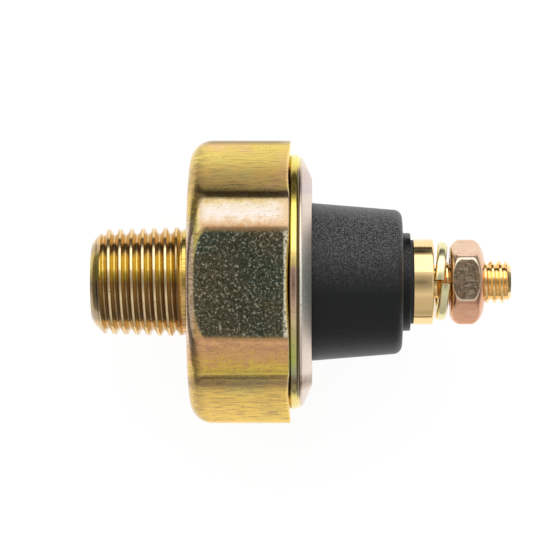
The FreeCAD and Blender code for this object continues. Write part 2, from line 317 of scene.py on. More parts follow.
def grid_quads(rows: int, columns: int, first: int = 0) -> Array:
    """Quads of a grid of points, as four point indices each.

    Args:
        rows: grid rows.
        columns: grid columns.
        first: index of the grid's first point.

    Returns:
        Array of shape ((rows - 1) * (columns - 1), 4).
    """
    index = first + np.arange(rows * columns).reshape(rows, columns)
    corners = [index[:-1, :-1], index[:-1, 1:], index[1:, 1:], index[1:, :-1]]
    return np.stack(corners, axis=-1).reshape(-1, 4)


def surface(name: str, grids: Sequence[Array], sharp: float = SHARP_ANGLE) -> bpy.types.Object:
    """Closed object from grids of points that meet along their edges.

    Points that fall together are merged, which closes seams and poles, and faces are turned
    outwards. Edges sharper than the limit are shaded as creases.

    Args:
        name: name of the object.
        grids: arrays of shape (rows, columns, 3) in metres.
        sharp: angle in radians past which an edge is a crease.

    Returns:
        The new object, at the origin.
    """
    points = np.concatenate([grid.reshape(-1, 3) for grid in grids])
    starts = np.cumsum([0] + [grid.shape[0] * grid.shape[1] for grid in grids])
    quads = np.concatenate(
        [grid_quads(grid.shape[0], grid.shape[1], first) for grid, first in zip(grids, starts)]
    )
    mesh = bpy.data.meshes.new(name)
    mesh.from_pydata(points, [], quads)
    work = bmesh.new()
    work.from_mesh(mesh)
    bmesh.ops.remove_doubles(work, verts=work.verts, dist=MERGE_DISTANCE)
    bmesh.ops.dissolve_degenerate(work, edges=work.edges, dist=MERGE_DISTANCE)
    bmesh.ops.recalc_face_normals(work, faces=work.faces)
    work.to_mesh(mesh)
    work.free()
    mesh.shade_smooth()
    mesh.set_sharp_from_angle(angle=sharp)
    piece = bpy.data.objects.new(name, mesh)
    bpy.context.scene.collection.objects.link(piece)
    return piece


def opaque(hue: object) -> object:
    """Hue with its full alpha; a socket stays as it is."""
    return hue if isinstance(hue, Socket) else (*hue, 1.0)


class Graph:
    """Node tree with short calls that add nodes and join them."""

    def __init__(self, tree: bpy.types.NodeTree) -> None:
        """Starts from a tree that it empties."""
        self.tree = tree
        tree.nodes.clear()

    def feed(self, target: Socket, value: object) -> None:
        """Joins a socket to an input, or sets the input's constant.

        Args:
            target: the input.
            value: a socket or a constant that fits it.
        """
        if isinstance(value, Socket):
            self.tree.links.new(value, target)
        else:
            target.default_value = value

    def node(self, kind: str, inputs: dict | None = None, **settings: object) -> bpy.types.Node:
        """Adds a node.

        Args:
            kind: Blender's name of the node type.
            inputs: values or sockets for its inputs, by name or number.
            settings: properties of the node.

        Returns:
            The new node.
        """
        made = self.tree.nodes.new(kind)
        for key, value in settings.items():
            setattr(made, key, value)
        for key, value in (inputs or {}).items():
            self.feed(made.inputs[key], value)
        return made

    def math(self, operation: str, *values: object) -> Socket:
        """Result of a Math node on up to three numbers or sockets."""
        return self.node("ShaderNodeMath", dict(enumerate(values)), operation=operation).outputs[0]

    def product(self, *factors: object) -> Socket:
        """Product of numbers or sockets, taken from the left."""
        return reduce(lambda result, factor: self.math("MULTIPLY", result, factor), factors)

    def size(self, value: Socket) -> Socket:
        """Size of a value without its sign."""
        return self.math("ABSOLUTE", value)

    def spread(self, value: object, low: float, high: float, to_low: float = 0.0,
               to_high: float = 1.0) -> Socket:
        """Value carried from one range to another and held at its ends."""
        inputs = {
            "Value": value, "From Min": low, "From Max": high, "To Min": to_low, "To Max": to_high
        }
        return self.node("ShaderNodeMapRange", inputs).outputs[0]

    def between(self, value: object, low: float, high: float, soft: float) -> Socket:
        """1 between two limits and 0 outside them, with soft edges."""
        rising = self.spread(value, low - soft, low + soft)
        return self.product(rising, self.spread(value, high - soft, high + soft, 1.0, 0.0))

    def mixed(self, factor: object, first: object, second: object, blend: str = "MIX") -> Socket:
        """Colour between two colours or sockets.

        Args:
            factor: share of the second colour.
            first: colour or socket.
            second: colour or socket.
            blend: Blender's name of the way they are blended.

        Returns:
            The mixed colour's socket.
        """
        inputs = {MIX_FACTOR: factor, MIX_FIRST: opaque(first), MIX_SECOND: opaque(second)}
        made = self.node("ShaderNodeMix", inputs, data_type="RGBA", blend_type=blend)
        return made.outputs[MIX_RESULT]

    def ramp(self, value: Socket, stops: Sequence[tuple[float, Colour]]) -> Socket:
        """Colour ramp over a value, from (place, colour) stops.

        Args:
            value: the value, from 0 to 1.
            stops: places from 0 to 1, and colours.

        Returns:
            The colour's socket.
        """
        made = self.node("ShaderNodeValToRGB", {"Fac": value})
        elements = made.color_ramp.elements
        while len(elements) < len(stops):
            elements.new(0.5)
        for element, (place, colour) in zip(elements, stops):
            element.position = place
            element.color = opaque(colour)
        return made.outputs[0]

    def hues_along(self, value: Socket, stops: Sequence[tuple[float, Colour]]) -> Socket:
        """Hue that follows (value, hue) stops, in the value's own unit and in rising order.

        Args:
            value: the value.
            stops: values and their hues.

        Returns:
            The hue's socket.
        """
        low, high = stops[0][0], stops[-1][0]
        places = [((at - low) / (high - low), hue) for at, hue in stops]
        return self.ramp(self.spread(value, low, high), places)

    def levels_along(self, value: Socket, stops: Sequence[tuple[float, float]],
                     share: float = 1.0) -> Socket:
        """Grey level that follows (value, level) stops, each times a share."""
        return self.hues_along(value, [(at, (level * share,) * 3) for at, level in stops])


@dataclass(frozen=True)
class Place:
    """Where a shaded point lies, in metres.

    Attributes:
        station: along the axis, from the tip of the port thread.
        across: along y.
        above: height over the axis.
        radius: distance from the axis.
    """

    station: Socket
    across: Socket
    above: Socket
    radius: Socket


class FinishGraph(Graph):
    """Node tree of one material, whose patterns lie on its object's own coordinates."""

    def __init__(self, name: str) -> None:
        """Starts a material with a lone Principled shader joined to its output.

        Args:
            name: name of the material.
        """
        self.material = bpy.data.materials.new(name)
        self.material.use_nodes = True
        super().__init__(self.material.node_tree)
        self.output = self.node("ShaderNodeOutputMaterial")
        self.shader = self.node("ShaderNodeBsdfPrincipled")
        self.feed(self.output.inputs["Surface"], self.shader.outputs[0])
        self.object_place = self.node("ShaderNodeTexCoord").outputs["Object"]

    def coordinates(self) -> bpy.types.bpy_prop_collection:
        """The point's x, y and z, as outputs that go by the names X, Y and Z."""
        return self.node("ShaderNodeSeparateXYZ", {0: self.object_place}).outputs

    def place_about(self, axis: Axis) -> Place:
        """Place of the shaded point about the sender's axis.

        Args:
            axis: the sender's axis.

        Returns:
            Sockets of the place.
        """
        x, across, z = self.coordinates()
        station = self.math("SUBTRACT", x, axis.tip)
        above = self.math("SUBTRACT", z, axis.height)
        squares = [self.product(length, length) for length in (across, above)]
        return Place(station, across, above, self.math("SQRT", self.math("ADD", *squares)))

    def noise(self, scale: float, detail: float, roughness: float,
              stretch: tuple[float, float, float] = (1.0, 1.0, 1.0)) -> Socket:
        """Noise from 0 to 1 on the object's own coordinates.

        Args:
            scale: cells in a metre.
            detail: octaves.
            roughness: weight of the finer octaves.
            stretch: scale along each axis; small along x draws marks out that way.

        Returns:
            The noise value's socket.
        """
        mapped = self.node("ShaderNodeMapping", {"Vector": self.object_place, "Scale": stretch})
        return self.node(
            "ShaderNodeTexNoise",
            {"Vector": mapped.outputs[0], "Scale": scale, "Detail": detail, "Roughness": roughness},
        ).outputs[0]

    def bump(self, height: Socket, distance: float, normal: Socket | None = None) -> Socket:
        """Normal bent by a height field.

        Args:
            height: heights from 0 to 1.
            distance: what a height of 1 stands for, in metres.
            normal: normal to start from.

        Returns:
            The bent normal's socket.
        """
        inputs = {"Height": height, "Distance": distance, "Strength": 1.0}
        if normal is not None:
            inputs["Normal"] = normal
        return self.node("ShaderNodeBump", inputs).outputs[0]

    def finish(self, inputs: dict) -> bpy.types.Material:
        """Feeds the shader's inputs by name and gives the material.

        Args:
            inputs: constants or sockets by the name of the input.

        Returns:
            The finished material.
        """
        for key, value in inputs.items():
            self.feed(self.shader.inputs[key], value)
        return self.material


# Hues of the film round the rim, by height above the sender's middle in metres
RIM_HUES = (
    (-0.0100, (0.84, 0.66, 0.18)), (-0.0085, (0.58, 0.56, 0.40)), (-0.0068, (0.60, 0.64, 0.17)),
    (-0.0016, (0.78, 0.52, 0.38)), (0.0013, (0.66, 0.42, 0.32)), (0.0018, (0.88, 0.69, 0.25)),
    (0.0090, (0.84, 0.66, 0.12)),
)
# Painted glint across the corner arc that faces up and towards +Y, by y in metres: a pale highlight
# between darker edges
GLINT_HUES = (
    (0.0051, (0.41, 0.24, 0.12)), (0.0058, (0.54, 0.43, 0.32)), (0.0062, (0.56, 0.50, 0.45)),
    (0.0069, (0.55, 0.48, 0.38)), (0.0074, (0.48, 0.37, 0.18)), (0.0079, (0.30, 0.19, 0.07)),
)
# Hues across the corner opposite, by y in metres
BLUSH_HUES = (
    (-0.0079, (0.98, 0.70, 0.14)), (-0.0073, (0.94, 0.60, 0.13)), (-0.0067, (0.88, 0.50, 0.18)),
    (-0.0057, (0.88, 0.47, 0.22)), (-0.0050, (0.72, 0.38, 0.21)),
)
# Painted shade and light multiplied on the film, by y in metres: darker beside the two upper
# edges of the hexagon's side flats, and lighter from 11 mm outwards
PAINTED_SIDE_TINTS = (
    (-0.0098, (1.0, 1.0, 1.0)), (-0.0090, (0.80, 0.70, 0.64)), (-0.0083, (0.82, 0.74, 0.68)),
    (-0.0080, (1.0, 1.0, 1.0)), (0.0078, (1.0, 1.0, 1.0)), (0.0082, (0.82, 0.82, 0.95)),
    (0.0100, (0.86, 0.79, 0.78)), (0.0110, (1.06, 1.15, 1.10)),
)
# Hues of the thread by depth below its crests in metres: the pale crests are a painted highlight,
# and the darker bands just under them and in the roots painted shade
THREAD_SHADING = (
    (0.0, (0.95, 0.72, 0.42)), (0.000008, (0.92, 0.66, 0.34)), (0.00003, (0.26, 0.18, 0.09)),
    (0.00012, (0.30, 0.21, 0.11)), (0.00020, (0.66, 0.44, 0.19)), (0.00038, (0.50, 0.34, 0.15)),
    (0.00044, (0.46, 0.31, 0.14)),
)


@dataclass(frozen=True)
class ChromatePlate:
    """Yellow chromate over zinc on turned and pressed steel.

    The film is gold with slow pink and green patches. It is dull grey-green and scuffed on the
    two flats that the sender is laid on, stained in blots beside its edges, and pinkish on the
    rolled lip. Light and shade are painted on it too: a glint on the hexagon's upper corner arc,
    a pale front edge, bands of shade and light beside the side flats' edges, a dark line under
    the blush, pale crests, shade in the thread and at the rim's foot, reflections along the
    thread, and a near-white reflection round the lip's middle.
    Lengths are in metres, and places are along y where nothing else is said.

    Attributes:
        name: material name.
        axis: the sender's axis.
        gold, pink, green: hues of the film's patches.
        clouds, cloud_levels: the slow patches, and their levels for green, gold, gold and pink.
        lower_gold, lower_side: hue of the side towards -Y and where it sets in.
        wander, wander_reach: noise that bends the edges of hues, and how far.
        blush_wander, blush_band, blush_share: the lower corner's blush of BLUSH_HUES.
        edge, front_highlight_band, front_highlight_reach: pale front edge, a painted highlight, by
        station and by size of y.
        rim_band: stations of the rim, where RIM_HUES hold.
        painted_shade, rim_radius, rim_depths, rim_sides: painted shade at the rim's foot, by depth
        below the rim and by size of y; the same hue paints the shade beside the crests and the
        dark line under the blush.
        thread_end: stations over which the thread's hues give way to the film.
        crest_cone: radius over the crests at station 0, and its growth.
        thread_pitch, thread_crest: pitch and station of a crest straight above the axis.
        crest_shadow, crest_shadow_share: painted shadow in a line beside a crest, in pitches from
            it.
        crest_skin: depths below the crests over which the three casts below set in.
        sunlit, sunlit_band, sunlit_share: olive cast above the middle, a painted reflection.
        under_shade, under_shade_slope, under_shade_share: grey cast below the middle, painted
        shade.
        flank, flank_slope: amber cast by size of y, a painted reflection on the thread's sides.
        lip, lip_sheen, lip_sheen_band, lip_start: pinkish hue of the lip and its near-white band
        round the middle, a painted reflection, by y, and the stations over which the lip sets in.
        glint_end_hue, glint_length, arc_radii, glint_side: hue of the painted glint past the ends
        of GLINT_HUES, and where the glint is painted, by station, radius and y.
        shade_line_band, shade_line_length, shade_line_share: dark line under the blush, painted
        shade, by y and station.
        blots, blot_levels: uneven blots of the stains.
        stain, stain_band, stain_share, nose_band, nose_share: stains beside the lower edge
            and, by station, on the rounded front.
        dull, dull_warm, dull_levels: hues of the two scuffed flats, by level of the clouds.
        flat_heights: distances above or below the axis over which the flats set in.
        marks, mottle, hairs: marks drawn along the axis, fine mottle, and hair lines.
        hair_width, scuffed, specks, speck_share, scuff_share: light scuffs on the flats.
        burr_band, burr_levels: light burr at the flats' rear edge, by station and mottle.
        scuff, pit, pits: hue of the scuffs, and hue and mottle levels of the flats' pits.
        streak, streaks: hue and levels of the drawn marks.
        streaks_arc, streaks_side, streaks_flat, streaks_rear: what is left of the marks on
        the corner arcs, far to +Y, on the flats, and behind the hexagon.
        pore, pores: hue and mottle levels of dark pores.
        roughness, uneven, mottle_levels: roughness of the smooth parts and its rise with mottle.
        scuff_roughness, lip_roughness: more of it on scuffs and on the lip.
        mark_depth, mottle_depth: heights of the two reliefs.
    """

    name: str
    axis: Axis
    gold: Colour = (0.86, 0.585, 0.135)
    pink: Colour = (0.87, 0.50, 0.22)
    green: Colour = (0.72, 0.62, 0.17)
    clouds: Grain = (170.0, 3.0, 0.55)
    cloud_levels: tuple[float, ...] = (0.38, 0.47, 0.55, 0.66)
    lower_gold: Colour = (0.88, 0.56, 0.09)
    lower_side: Slope = (-0.0102, -0.0084, 0.8, 0.0)
    wander: Grain = (1300.0, 4.0, 0.65)
    wander_reach: Slope = (0.3, 0.7, -0.00035, 0.00035)
    blush_wander: float = 3.0
    blush_band: Band = (-0.0082, -0.0046, 0.0004)
    blush_share: float = 0.92
    # Pale front edge over the two flats: a painted highlight
    edge: Colour = (0.86, 0.64, 0.49)
    front_highlight_band: Band = (0.00906, 0.0098, 0.0001)
    front_highlight_reach: Slope = (0.0048, 0.0062, 0.9, 0.0)
    rim_band: Band = (0.01815, 0.01912, 0.00003)
    # Hue of painted shade: at the rim's foot, beside the thread's crests and in the line under the
    # blush
    painted_shade: Colour = (0.07, 0.045, 0.02)
    rim_radius: float = 0.0117
    rim_depths: Slope = (0.00001, 0.00003)
    rim_sides: Slope = (0.0100, 0.0106, 0.9, 0.0)
    thread_end: Slope = (0.0080, 0.0086)
    crest_cone: tuple[float, float] = (0.004797, 1 / 32)
    thread_pitch: float = 0.00103
    thread_crest: float = 0.00075
    crest_shadow: Band = (-0.17, -0.05, 0.015)
    crest_shadow_share: float = 0.8
    crest_skin: Slope = (0.00002, 0.00006)
    # Painted reflections and shade on the thread: olive above the middle, grey below it, amber at
    # the sides
    sunlit: Colour = (0.74, 0.58, 0.08)
    sunlit_band: Band = (0.0002, 0.0026, 0.0003)
    sunlit_share: float = 0.45
    under_shade: Colour = (0.22, 0.19, 0.14)
    under_shade_slope: Slope = (-0.0030, -0.0002, 1.0, 0.0)
    under_shade_share: float = 0.40
    flank: Colour = (0.82, 0.52, 0.17)
    flank_slope: Slope = (0.0033, 0.0037, 0.0, 0.6)
    lip: Colour = (0.83, 0.70, 0.60)
    # Near-white band round the lip's middle: a painted reflection
    lip_sheen: Colour = (0.97, 0.98, 0.87)
    lip_sheen_band: Band = (-0.0025, 0.0025, 0.0015)
    lip_start: Slope = (0.01909, 0.01916)
    # Painted glint on the corner arcs that face towards +Y: its hue past its ends, and where it is
    # painted
    glint_end_hue: Colour = (0.50, 0.36, 0.21)
    glint_length: Band = (0.0105, 0.0175, 0.0005)
    arc_radii: Slope = (0.01265, 0.0129)
    glint_side: Slope = (-0.003, 0.004)
    # Dark line under the blush: painted shade
    shade_line_band: Band = (-0.00843, -0.00833, 0.00003)
    shade_line_length: Band = (0.0104, 0.0178, 0.0001)
    shade_line_share: float = 0.75
    blots: Grain = (2600.0, 4.0, 0.7, (0.4, 1.0, 1.0))
    blot_levels: Slope = (0.36, 0.60)
    stain: Colour = (0.16, 0.115, 0.05)
    stain_band: Band = (-0.0093, -0.0085, 0.00035)
    stain_share: tuple[float, float] = (0.5, 0.3)
    nose_band: Band = (0.0092, 0.0103, 0.0004)
    nose_share: float = 0.55
    dull: Colour = (0.125, 0.165, 0.115)
    dull_warm: Colour = (0.21, 0.19, 0.115)
    dull_levels: Slope = (0.40, 0.60)
    flat_heights: Slope = (0.01197, 0.01199)
    marks: Grain = (6000.0, 3.0, 0.65, (0.10, 1.0, 1.0))
    mottle: Grain = (4200.0, 4.0, 0.75)
    hairs: Grain = (2000.0, 4.0, 0.7, (1.0, 0.6, 1.0))
    hair_width: Slope = (0.0, 0.020, 1.0, 0.0)
    scuffed: Slope = (0.49, 0.57)
    specks: Slope = (0.585, 0.64)
    speck_share: float = 0.9
    scuff_share: float = 0.66
    burr_band: Slope = (0.01762, 0.01780)
    burr_levels: Slope = (0.36, 0.50)
    scuff: Colour = (0.92, 0.84, 0.62)
    pit: Colour = (0.04, 0.05, 0.035)
    pits: Slope = (0.36, 0.49, 0.75, 0.0)
    streak: Colour = (0.34, 0.22, 0.08)
    streaks: Slope = (0.48, 0.66)
    streaks_arc: float = 0.25
    streaks_side: Slope = (0.0088, 0.0115, 1.0, 0.4)
    streaks_flat: Slope = (0.0, 1.0, 1.0, 0.4)
    streaks_rear: Slope = (0.0180, 0.0181, 1.0, 0.1)
    pore: Colour = (0.20, 0.14, 0.06)
    pores: Slope = (0.32, 0.44, 0.60, 0.0)
    roughness: float = 0.13
    uneven: float = 0.10
    mottle_levels: Slope = (0.35, 0.70)
    scuff_roughness: float = 0.35
    lip_roughness: float = 0.22
    mark_depth: float = 2.0e-6
    mottle_depth: float = 2.4e-6

    def film(self, graph: FinishGraph, at: Place, clouds: Socket, wander: Socket) -> Socket:
        """Film on the hexagon: patches, the lower side, the blush and the pale front edge, a
        painted highlight.

        Args:
            graph: the material's node tree.
            at: place of the shaded point.
            clouds: slow noise of the patches.
            wander: how far hues' edges are bent, in metres.

        Returns:
            The film's hue.
        """
        hues = (self.green, self.gold, self.gold, self.pink)
        film = graph.ramp(clouds, list(zip(self.cloud_levels, hues)))
        film = graph.mixed(graph.spread(at.across, *self.lower_side), film, self.lower_gold)
        bent = graph.math("MULTIPLY_ADD", wander, self.blush_wander, at.across)
        share = graph.product(graph.between(at.across, *self.blush_band), self.blush_share)
        film = graph.mixed(share, film, graph.hues_along(bent, BLUSH_HUES))
        # Pale front edge, a painted highlight, on the rounding in front of the two flats
        front = graph.product(
            graph.between(at.station, *self.front_highlight_band),
            graph.spread(graph.size(at.across), *self.front_highlight_reach),
        )
        return graph.mixed(front, film, self.edge)

    def thread(self, graph: FinishGraph, at: Place) -> Socket:
        """Hue of the port thread.

        It follows the depth under the crests' cone: the pale crests are a painted highlight, and
        the darker bands under them and in the roots painted shade. A line beside each crest is a
        painted
        shadow: the phase is the fraction of the station and the turn about the axis, both in
        pitches, and 0.5 on a crest. The last three casts are laid on by place along y, and are
        painted
        reflections and shade: olive above the middle, grey below it, amber at the sides.

        Args:
            graph: the material's node tree.
            at: place of the shaded point.

        Returns:
            The thread's hue.
        """
        start, growth = self.crest_cone
        cone = graph.math("MULTIPLY_ADD", at.station, growth, start)
        depth = graph.math("SUBTRACT", cone, at.radius)
        # Pale crests are a painted highlight; the darker bands under them and in the roots are
        # painted shade
        hue = graph.hues_along(depth, THREAD_SHADING)
        turn = graph.math("ARCTAN2", at.across, at.above)
        before = 0.5 - self.thread_crest / self.thread_pitch
        advance = graph.math("MULTIPLY_ADD", at.station, 1 / self.thread_pitch, before)
        phase = graph.math("FRACT", graph.math("MULTIPLY_ADD", turn, 1 / FULL_TURN, advance))
        # Painted shadow in a line beside each crest
        beside = graph.between(graph.math("SUBTRACT", phase, 0.5), *self.crest_shadow)
        hue = graph.mixed(graph.product(beside, self.crest_shadow_share), hue, self.painted_shade)
        # Painted reflections and shade by place along y: olive above the middle, grey below it,
        # amber at the sides
        skin = graph.spread(depth, *self.crest_skin)
        above = graph.product(graph.between(at.across, *self.sunlit_band), skin)
        hue = graph.mixed(graph.product(above, self.sunlit_share), hue, self.sunlit)
        below = graph.product(graph.spread(at.across, *self.under_shade_slope), skin)
        hue = graph.mixed(graph.product(below, self.under_shade_share), hue, self.under_shade)
        aside = graph.spread(graph.size(at.across), *self.flank_slope)
        return graph.mixed(aside, hue, self.flank)

    def painted_glint(self, graph: FinishGraph, at: Place, film: Socket, wander: Socket) -> Socket:
        """Painted glint on the hexagon's corner arcs that face towards +Y: a pale highlight between
        darker edges.

        Args:
            graph: the material's node tree.
            at: place of the shaded point.
            film: hue of the film.
            wander: how far hues' edges are bent, in metres.

        Returns:
            The hue with the painted glint on it.
        """
        # Share of the painted glint: the corner arcs on the side towards +Y
        glint_share = graph.product(
            graph.spread(at.radius, *self.arc_radii), graph.spread(at.across, *self.glint_side)
        )
        glint_hue = graph.hues_along(graph.math("ADD", at.across, wander), GLINT_HUES)
        glint_hue = graph.mixed(graph.between(at.station, *self.glint_length), self.glint_end_hue, glint_hue)
        return graph.mixed(glint_share, film, glint_hue)

    def stained_and_shaded(self, graph: FinishGraph, at: Place, film: Socket) -> Socket:
        """Film with the painted dark line, the blotted stains and the painted shade and light of
        PAINTED_SIDE_TINTS.

        Args:
            graph: the material's node tree.
            at: place of the shaded point.
            film: hue of the film.

        Returns:
            The hue with the stains and the painted shade and light on it.
        """
        # Thin dark line under the blush, along the hexagon: painted shade
        line = graph.product(
            graph.between(at.across, *self.shade_line_band), graph.between(at.station, *self.shade_line_length)
        )
        film = graph.mixed(graph.product(line, self.shade_line_share), film, self.painted_shade)
        blots = graph.spread(graph.noise(*self.blots), *self.blot_levels)
        beside = graph.product(
            graph.between(at.across, *self.stain_band),
            graph.math("MULTIPLY_ADD", blots, *self.stain_share),
        )
        nose = graph.product(graph.between(at.station, *self.nose_band), blots, self.nose_share)
        film = graph.mixed(graph.math("MAXIMUM", beside, nose), film, self.stain)
        # Tints multiplied on by y: painted shade beside the side flats' upper edges, painted light
        # past 11 mm
        return graph.mixed(1.0, film, graph.hues_along(at.across, PAINTED_SIDE_TINTS), "MULTIPLY")

    def hue(self, graph: FinishGraph, at: Place, on_flat: Socket) -> Socket:
        """Hue at a place before scuffs and marks, from the film over each region to the flats.

        Args:
            graph: the material's node tree.
            at: place of the shaded point.
            on_flat: 1 on the scuffed flats and 0 elsewhere.

        Returns:
            The hue.
        """
        clouds = graph.noise(*self.clouds)
        wander = graph.spread(graph.noise(*self.wander), *self.wander_reach)
        film = self.film(graph, at, clouds, wander)
        on_rim = graph.between(at.station, *self.rim_band)
        film = graph.mixed(on_rim, film, graph.hues_along(at.across, RIM_HUES))
        past_thread = graph.spread(at.station, *self.thread_end)
        film = graph.mixed(past_thread, self.thread(graph, at), film)
        # Near-white band round the lip's middle, a painted reflection, on the pinkish lip
        middle = graph.between(at.across, *self.lip_sheen_band)
        lip = graph.mixed(middle, self.lip, self.lip_sheen)
        film = graph.mixed(graph.spread(at.station, *self.lip_start), film, lip)
        # Painted shade at the rim's foot, in the groove between the hexagon and the rim
        below_rim = graph.math("SUBTRACT", self.rim_radius, at.radius)
        foot = graph.product(on_rim, graph.spread(below_rim, *self.rim_depths))
        sides = graph.spread(graph.size(at.across), *self.rim_sides)
        film = graph.mixed(graph.product(foot, sides), film, self.painted_shade)
        # Painted glint on the upper corner arcs first, then the stains and the painted shade and
        # light
        film = self.stained_and_shaded(graph, at, self.painted_glint(graph, at, film, wander))
        dull = graph.mixed(graph.spread(clouds, *self.dull_levels), self.dull, self.dull_warm)
        return graph.mixed(on_flat, film, dull)

    def scuffs(self, graph: FinishGraph, at: Place, mottle: Socket) -> Socket:
        """Share of light scuffs, as if the flats went all round.

        Scuffs are thin ridges of a bent noise, so they look like short light hair lines, and
        specks are the peaks of the mottle. The flats end in a burr of close light specks.

        Args:
            graph: the material's node tree.
            at: place of the shaded point.
            mottle: the fine mottle.

        Returns:
            Share of the scuffs' hue.
        """
        ridge = graph.size(graph.math("SUBTRACT", graph.noise(*self.hairs), 0.5))
        hairs = graph.product(
            graph.spread(ridge, *self.hair_width), graph.spread(mottle, *self.scuffed)
        )
        specks = graph.product(graph.spread(mottle, *self.specks), self.speck_share)
        light = graph.product(graph.math("MAXIMUM", hairs, specks), self.scuff_share)
        burr = graph.product(
            graph.spread(at.station, *self.burr_band), graph.spread(mottle, *self.burr_levels)
        )
        return graph.math("MAXIMUM", light, burr)

    def drawn(self, graph: FinishGraph, at: Place, on_flat: Socket, marks: Socket) -> Socket:
        """Share of the marks drawn along the axis, fainter on all but the hexagon's sides.

        Args:
            graph: the material's node tree.
            at: place of the shaded point.
            on_flat: 1 on the scuffed flats and 0 elsewhere.
            marks: noise of the marks.

        Returns:
            Share of the marks' hue.
        """
        sides = graph.product(
            graph.spread(marks, *self.streaks),
            graph.spread(at.radius, *self.arc_radii, 1.0, self.streaks_arc),
            graph.spread(at.across, *self.streaks_side),
        )
        lengthwise = graph.product(
            graph.spread(on_flat, *self.streaks_flat),
            graph.spread(at.station, *self.thread_end),
            graph.spread(at.station, *self.streaks_rear),
        )
        return graph.product(sides, lengthwise)

    def material(self) -> bpy.types.Material:
        """Builds the material: hue, drawn marks, pores, pits and scuffs, and a fine tooth.

        Returns:
            The new material.
        """
        graph = FinishGraph(self.name)
        at = graph.place_about(self.axis)
        on_flat = graph.spread(graph.size(at.above), *self.flat_heights)
        marks = graph.noise(*self.marks)
        mottle = graph.noise(*self.mottle)
        light = graph.product(self.scuffs(graph, at, mottle), on_flat)
        pitted = graph.product(graph.spread(mottle, *self.pits), on_flat)
        drawn = self.drawn(graph, at, on_flat, marks)
        colour = graph.mixed(drawn, self.hue(graph, at, on_flat), self.streak)
        colour = graph.mixed(graph.spread(mottle, *self.pores), colour, self.pore)
        colour = graph.mixed(pitted, colour, self.pit)
        colour = graph.mixed(light, colour, self.scuff)
        rough = graph.spread(
            mottle, *self.mottle_levels, self.roughness, self.roughness + self.uneven
        )
        rough = graph.math("MULTIPLY_ADD", light, self.scuff_roughness, rough)
        on_lip = graph.spread(at.station, *self.lip_start, 0.0, self.lip_roughness)
        return graph.finish(
            {
                "Base Color": colour,
                "Metallic": 1.0,
                "Roughness": graph.math("ADD", rough, on_lip),
                "Normal": graph.bump(
                    mottle, self.mottle_depth, normal=graph.bump(marks, self.mark_depth)
                ),
            }
        )


@dataclass(frozen=True)
class PlainMetal:
    """A bright or plated metal with faint hue patches and a fine grain.

    Attributes:
        name: material name.
        colour: main hue.
        tarnish: hue of the patches.
        roughness: of the polished parts.
        uneven: how much rougher the grain's peaks are.
        patch, grain: the hue patches and the surface's grain.
        relief: height of the grain in metres.
    """

    name: str
    colour: Colour
    tarnish: Colour
    roughness: float = 0.22
    uneven: float = 0.12
    patch: Grain = (400.0, 4.0, 0.6)
    grain: Grain = (5000.0, 3.0, 0.65)
    relief: float = 3e-6

    def material(self) -> bpy.types.Material:
        """Builds the material.

        Returns:
            The new material.
        """
        graph = FinishGraph(self.name)
        patches = graph.spread(graph.noise(*self.patch), *PATCH_LEVELS)
        grain = graph.noise(*self.grain)
        rough = graph.spread(grain, *GRAIN_LEVELS, self.roughness, self.roughness + self.uneven)
        return graph.finish(
            {
                "Base Color": graph.mixed(patches, self.colour, self.tarnish),
                "Metallic": 1.0,
                "Roughness": rough,
                "Normal": graph.bump(grain, self.relief),
            }
        )


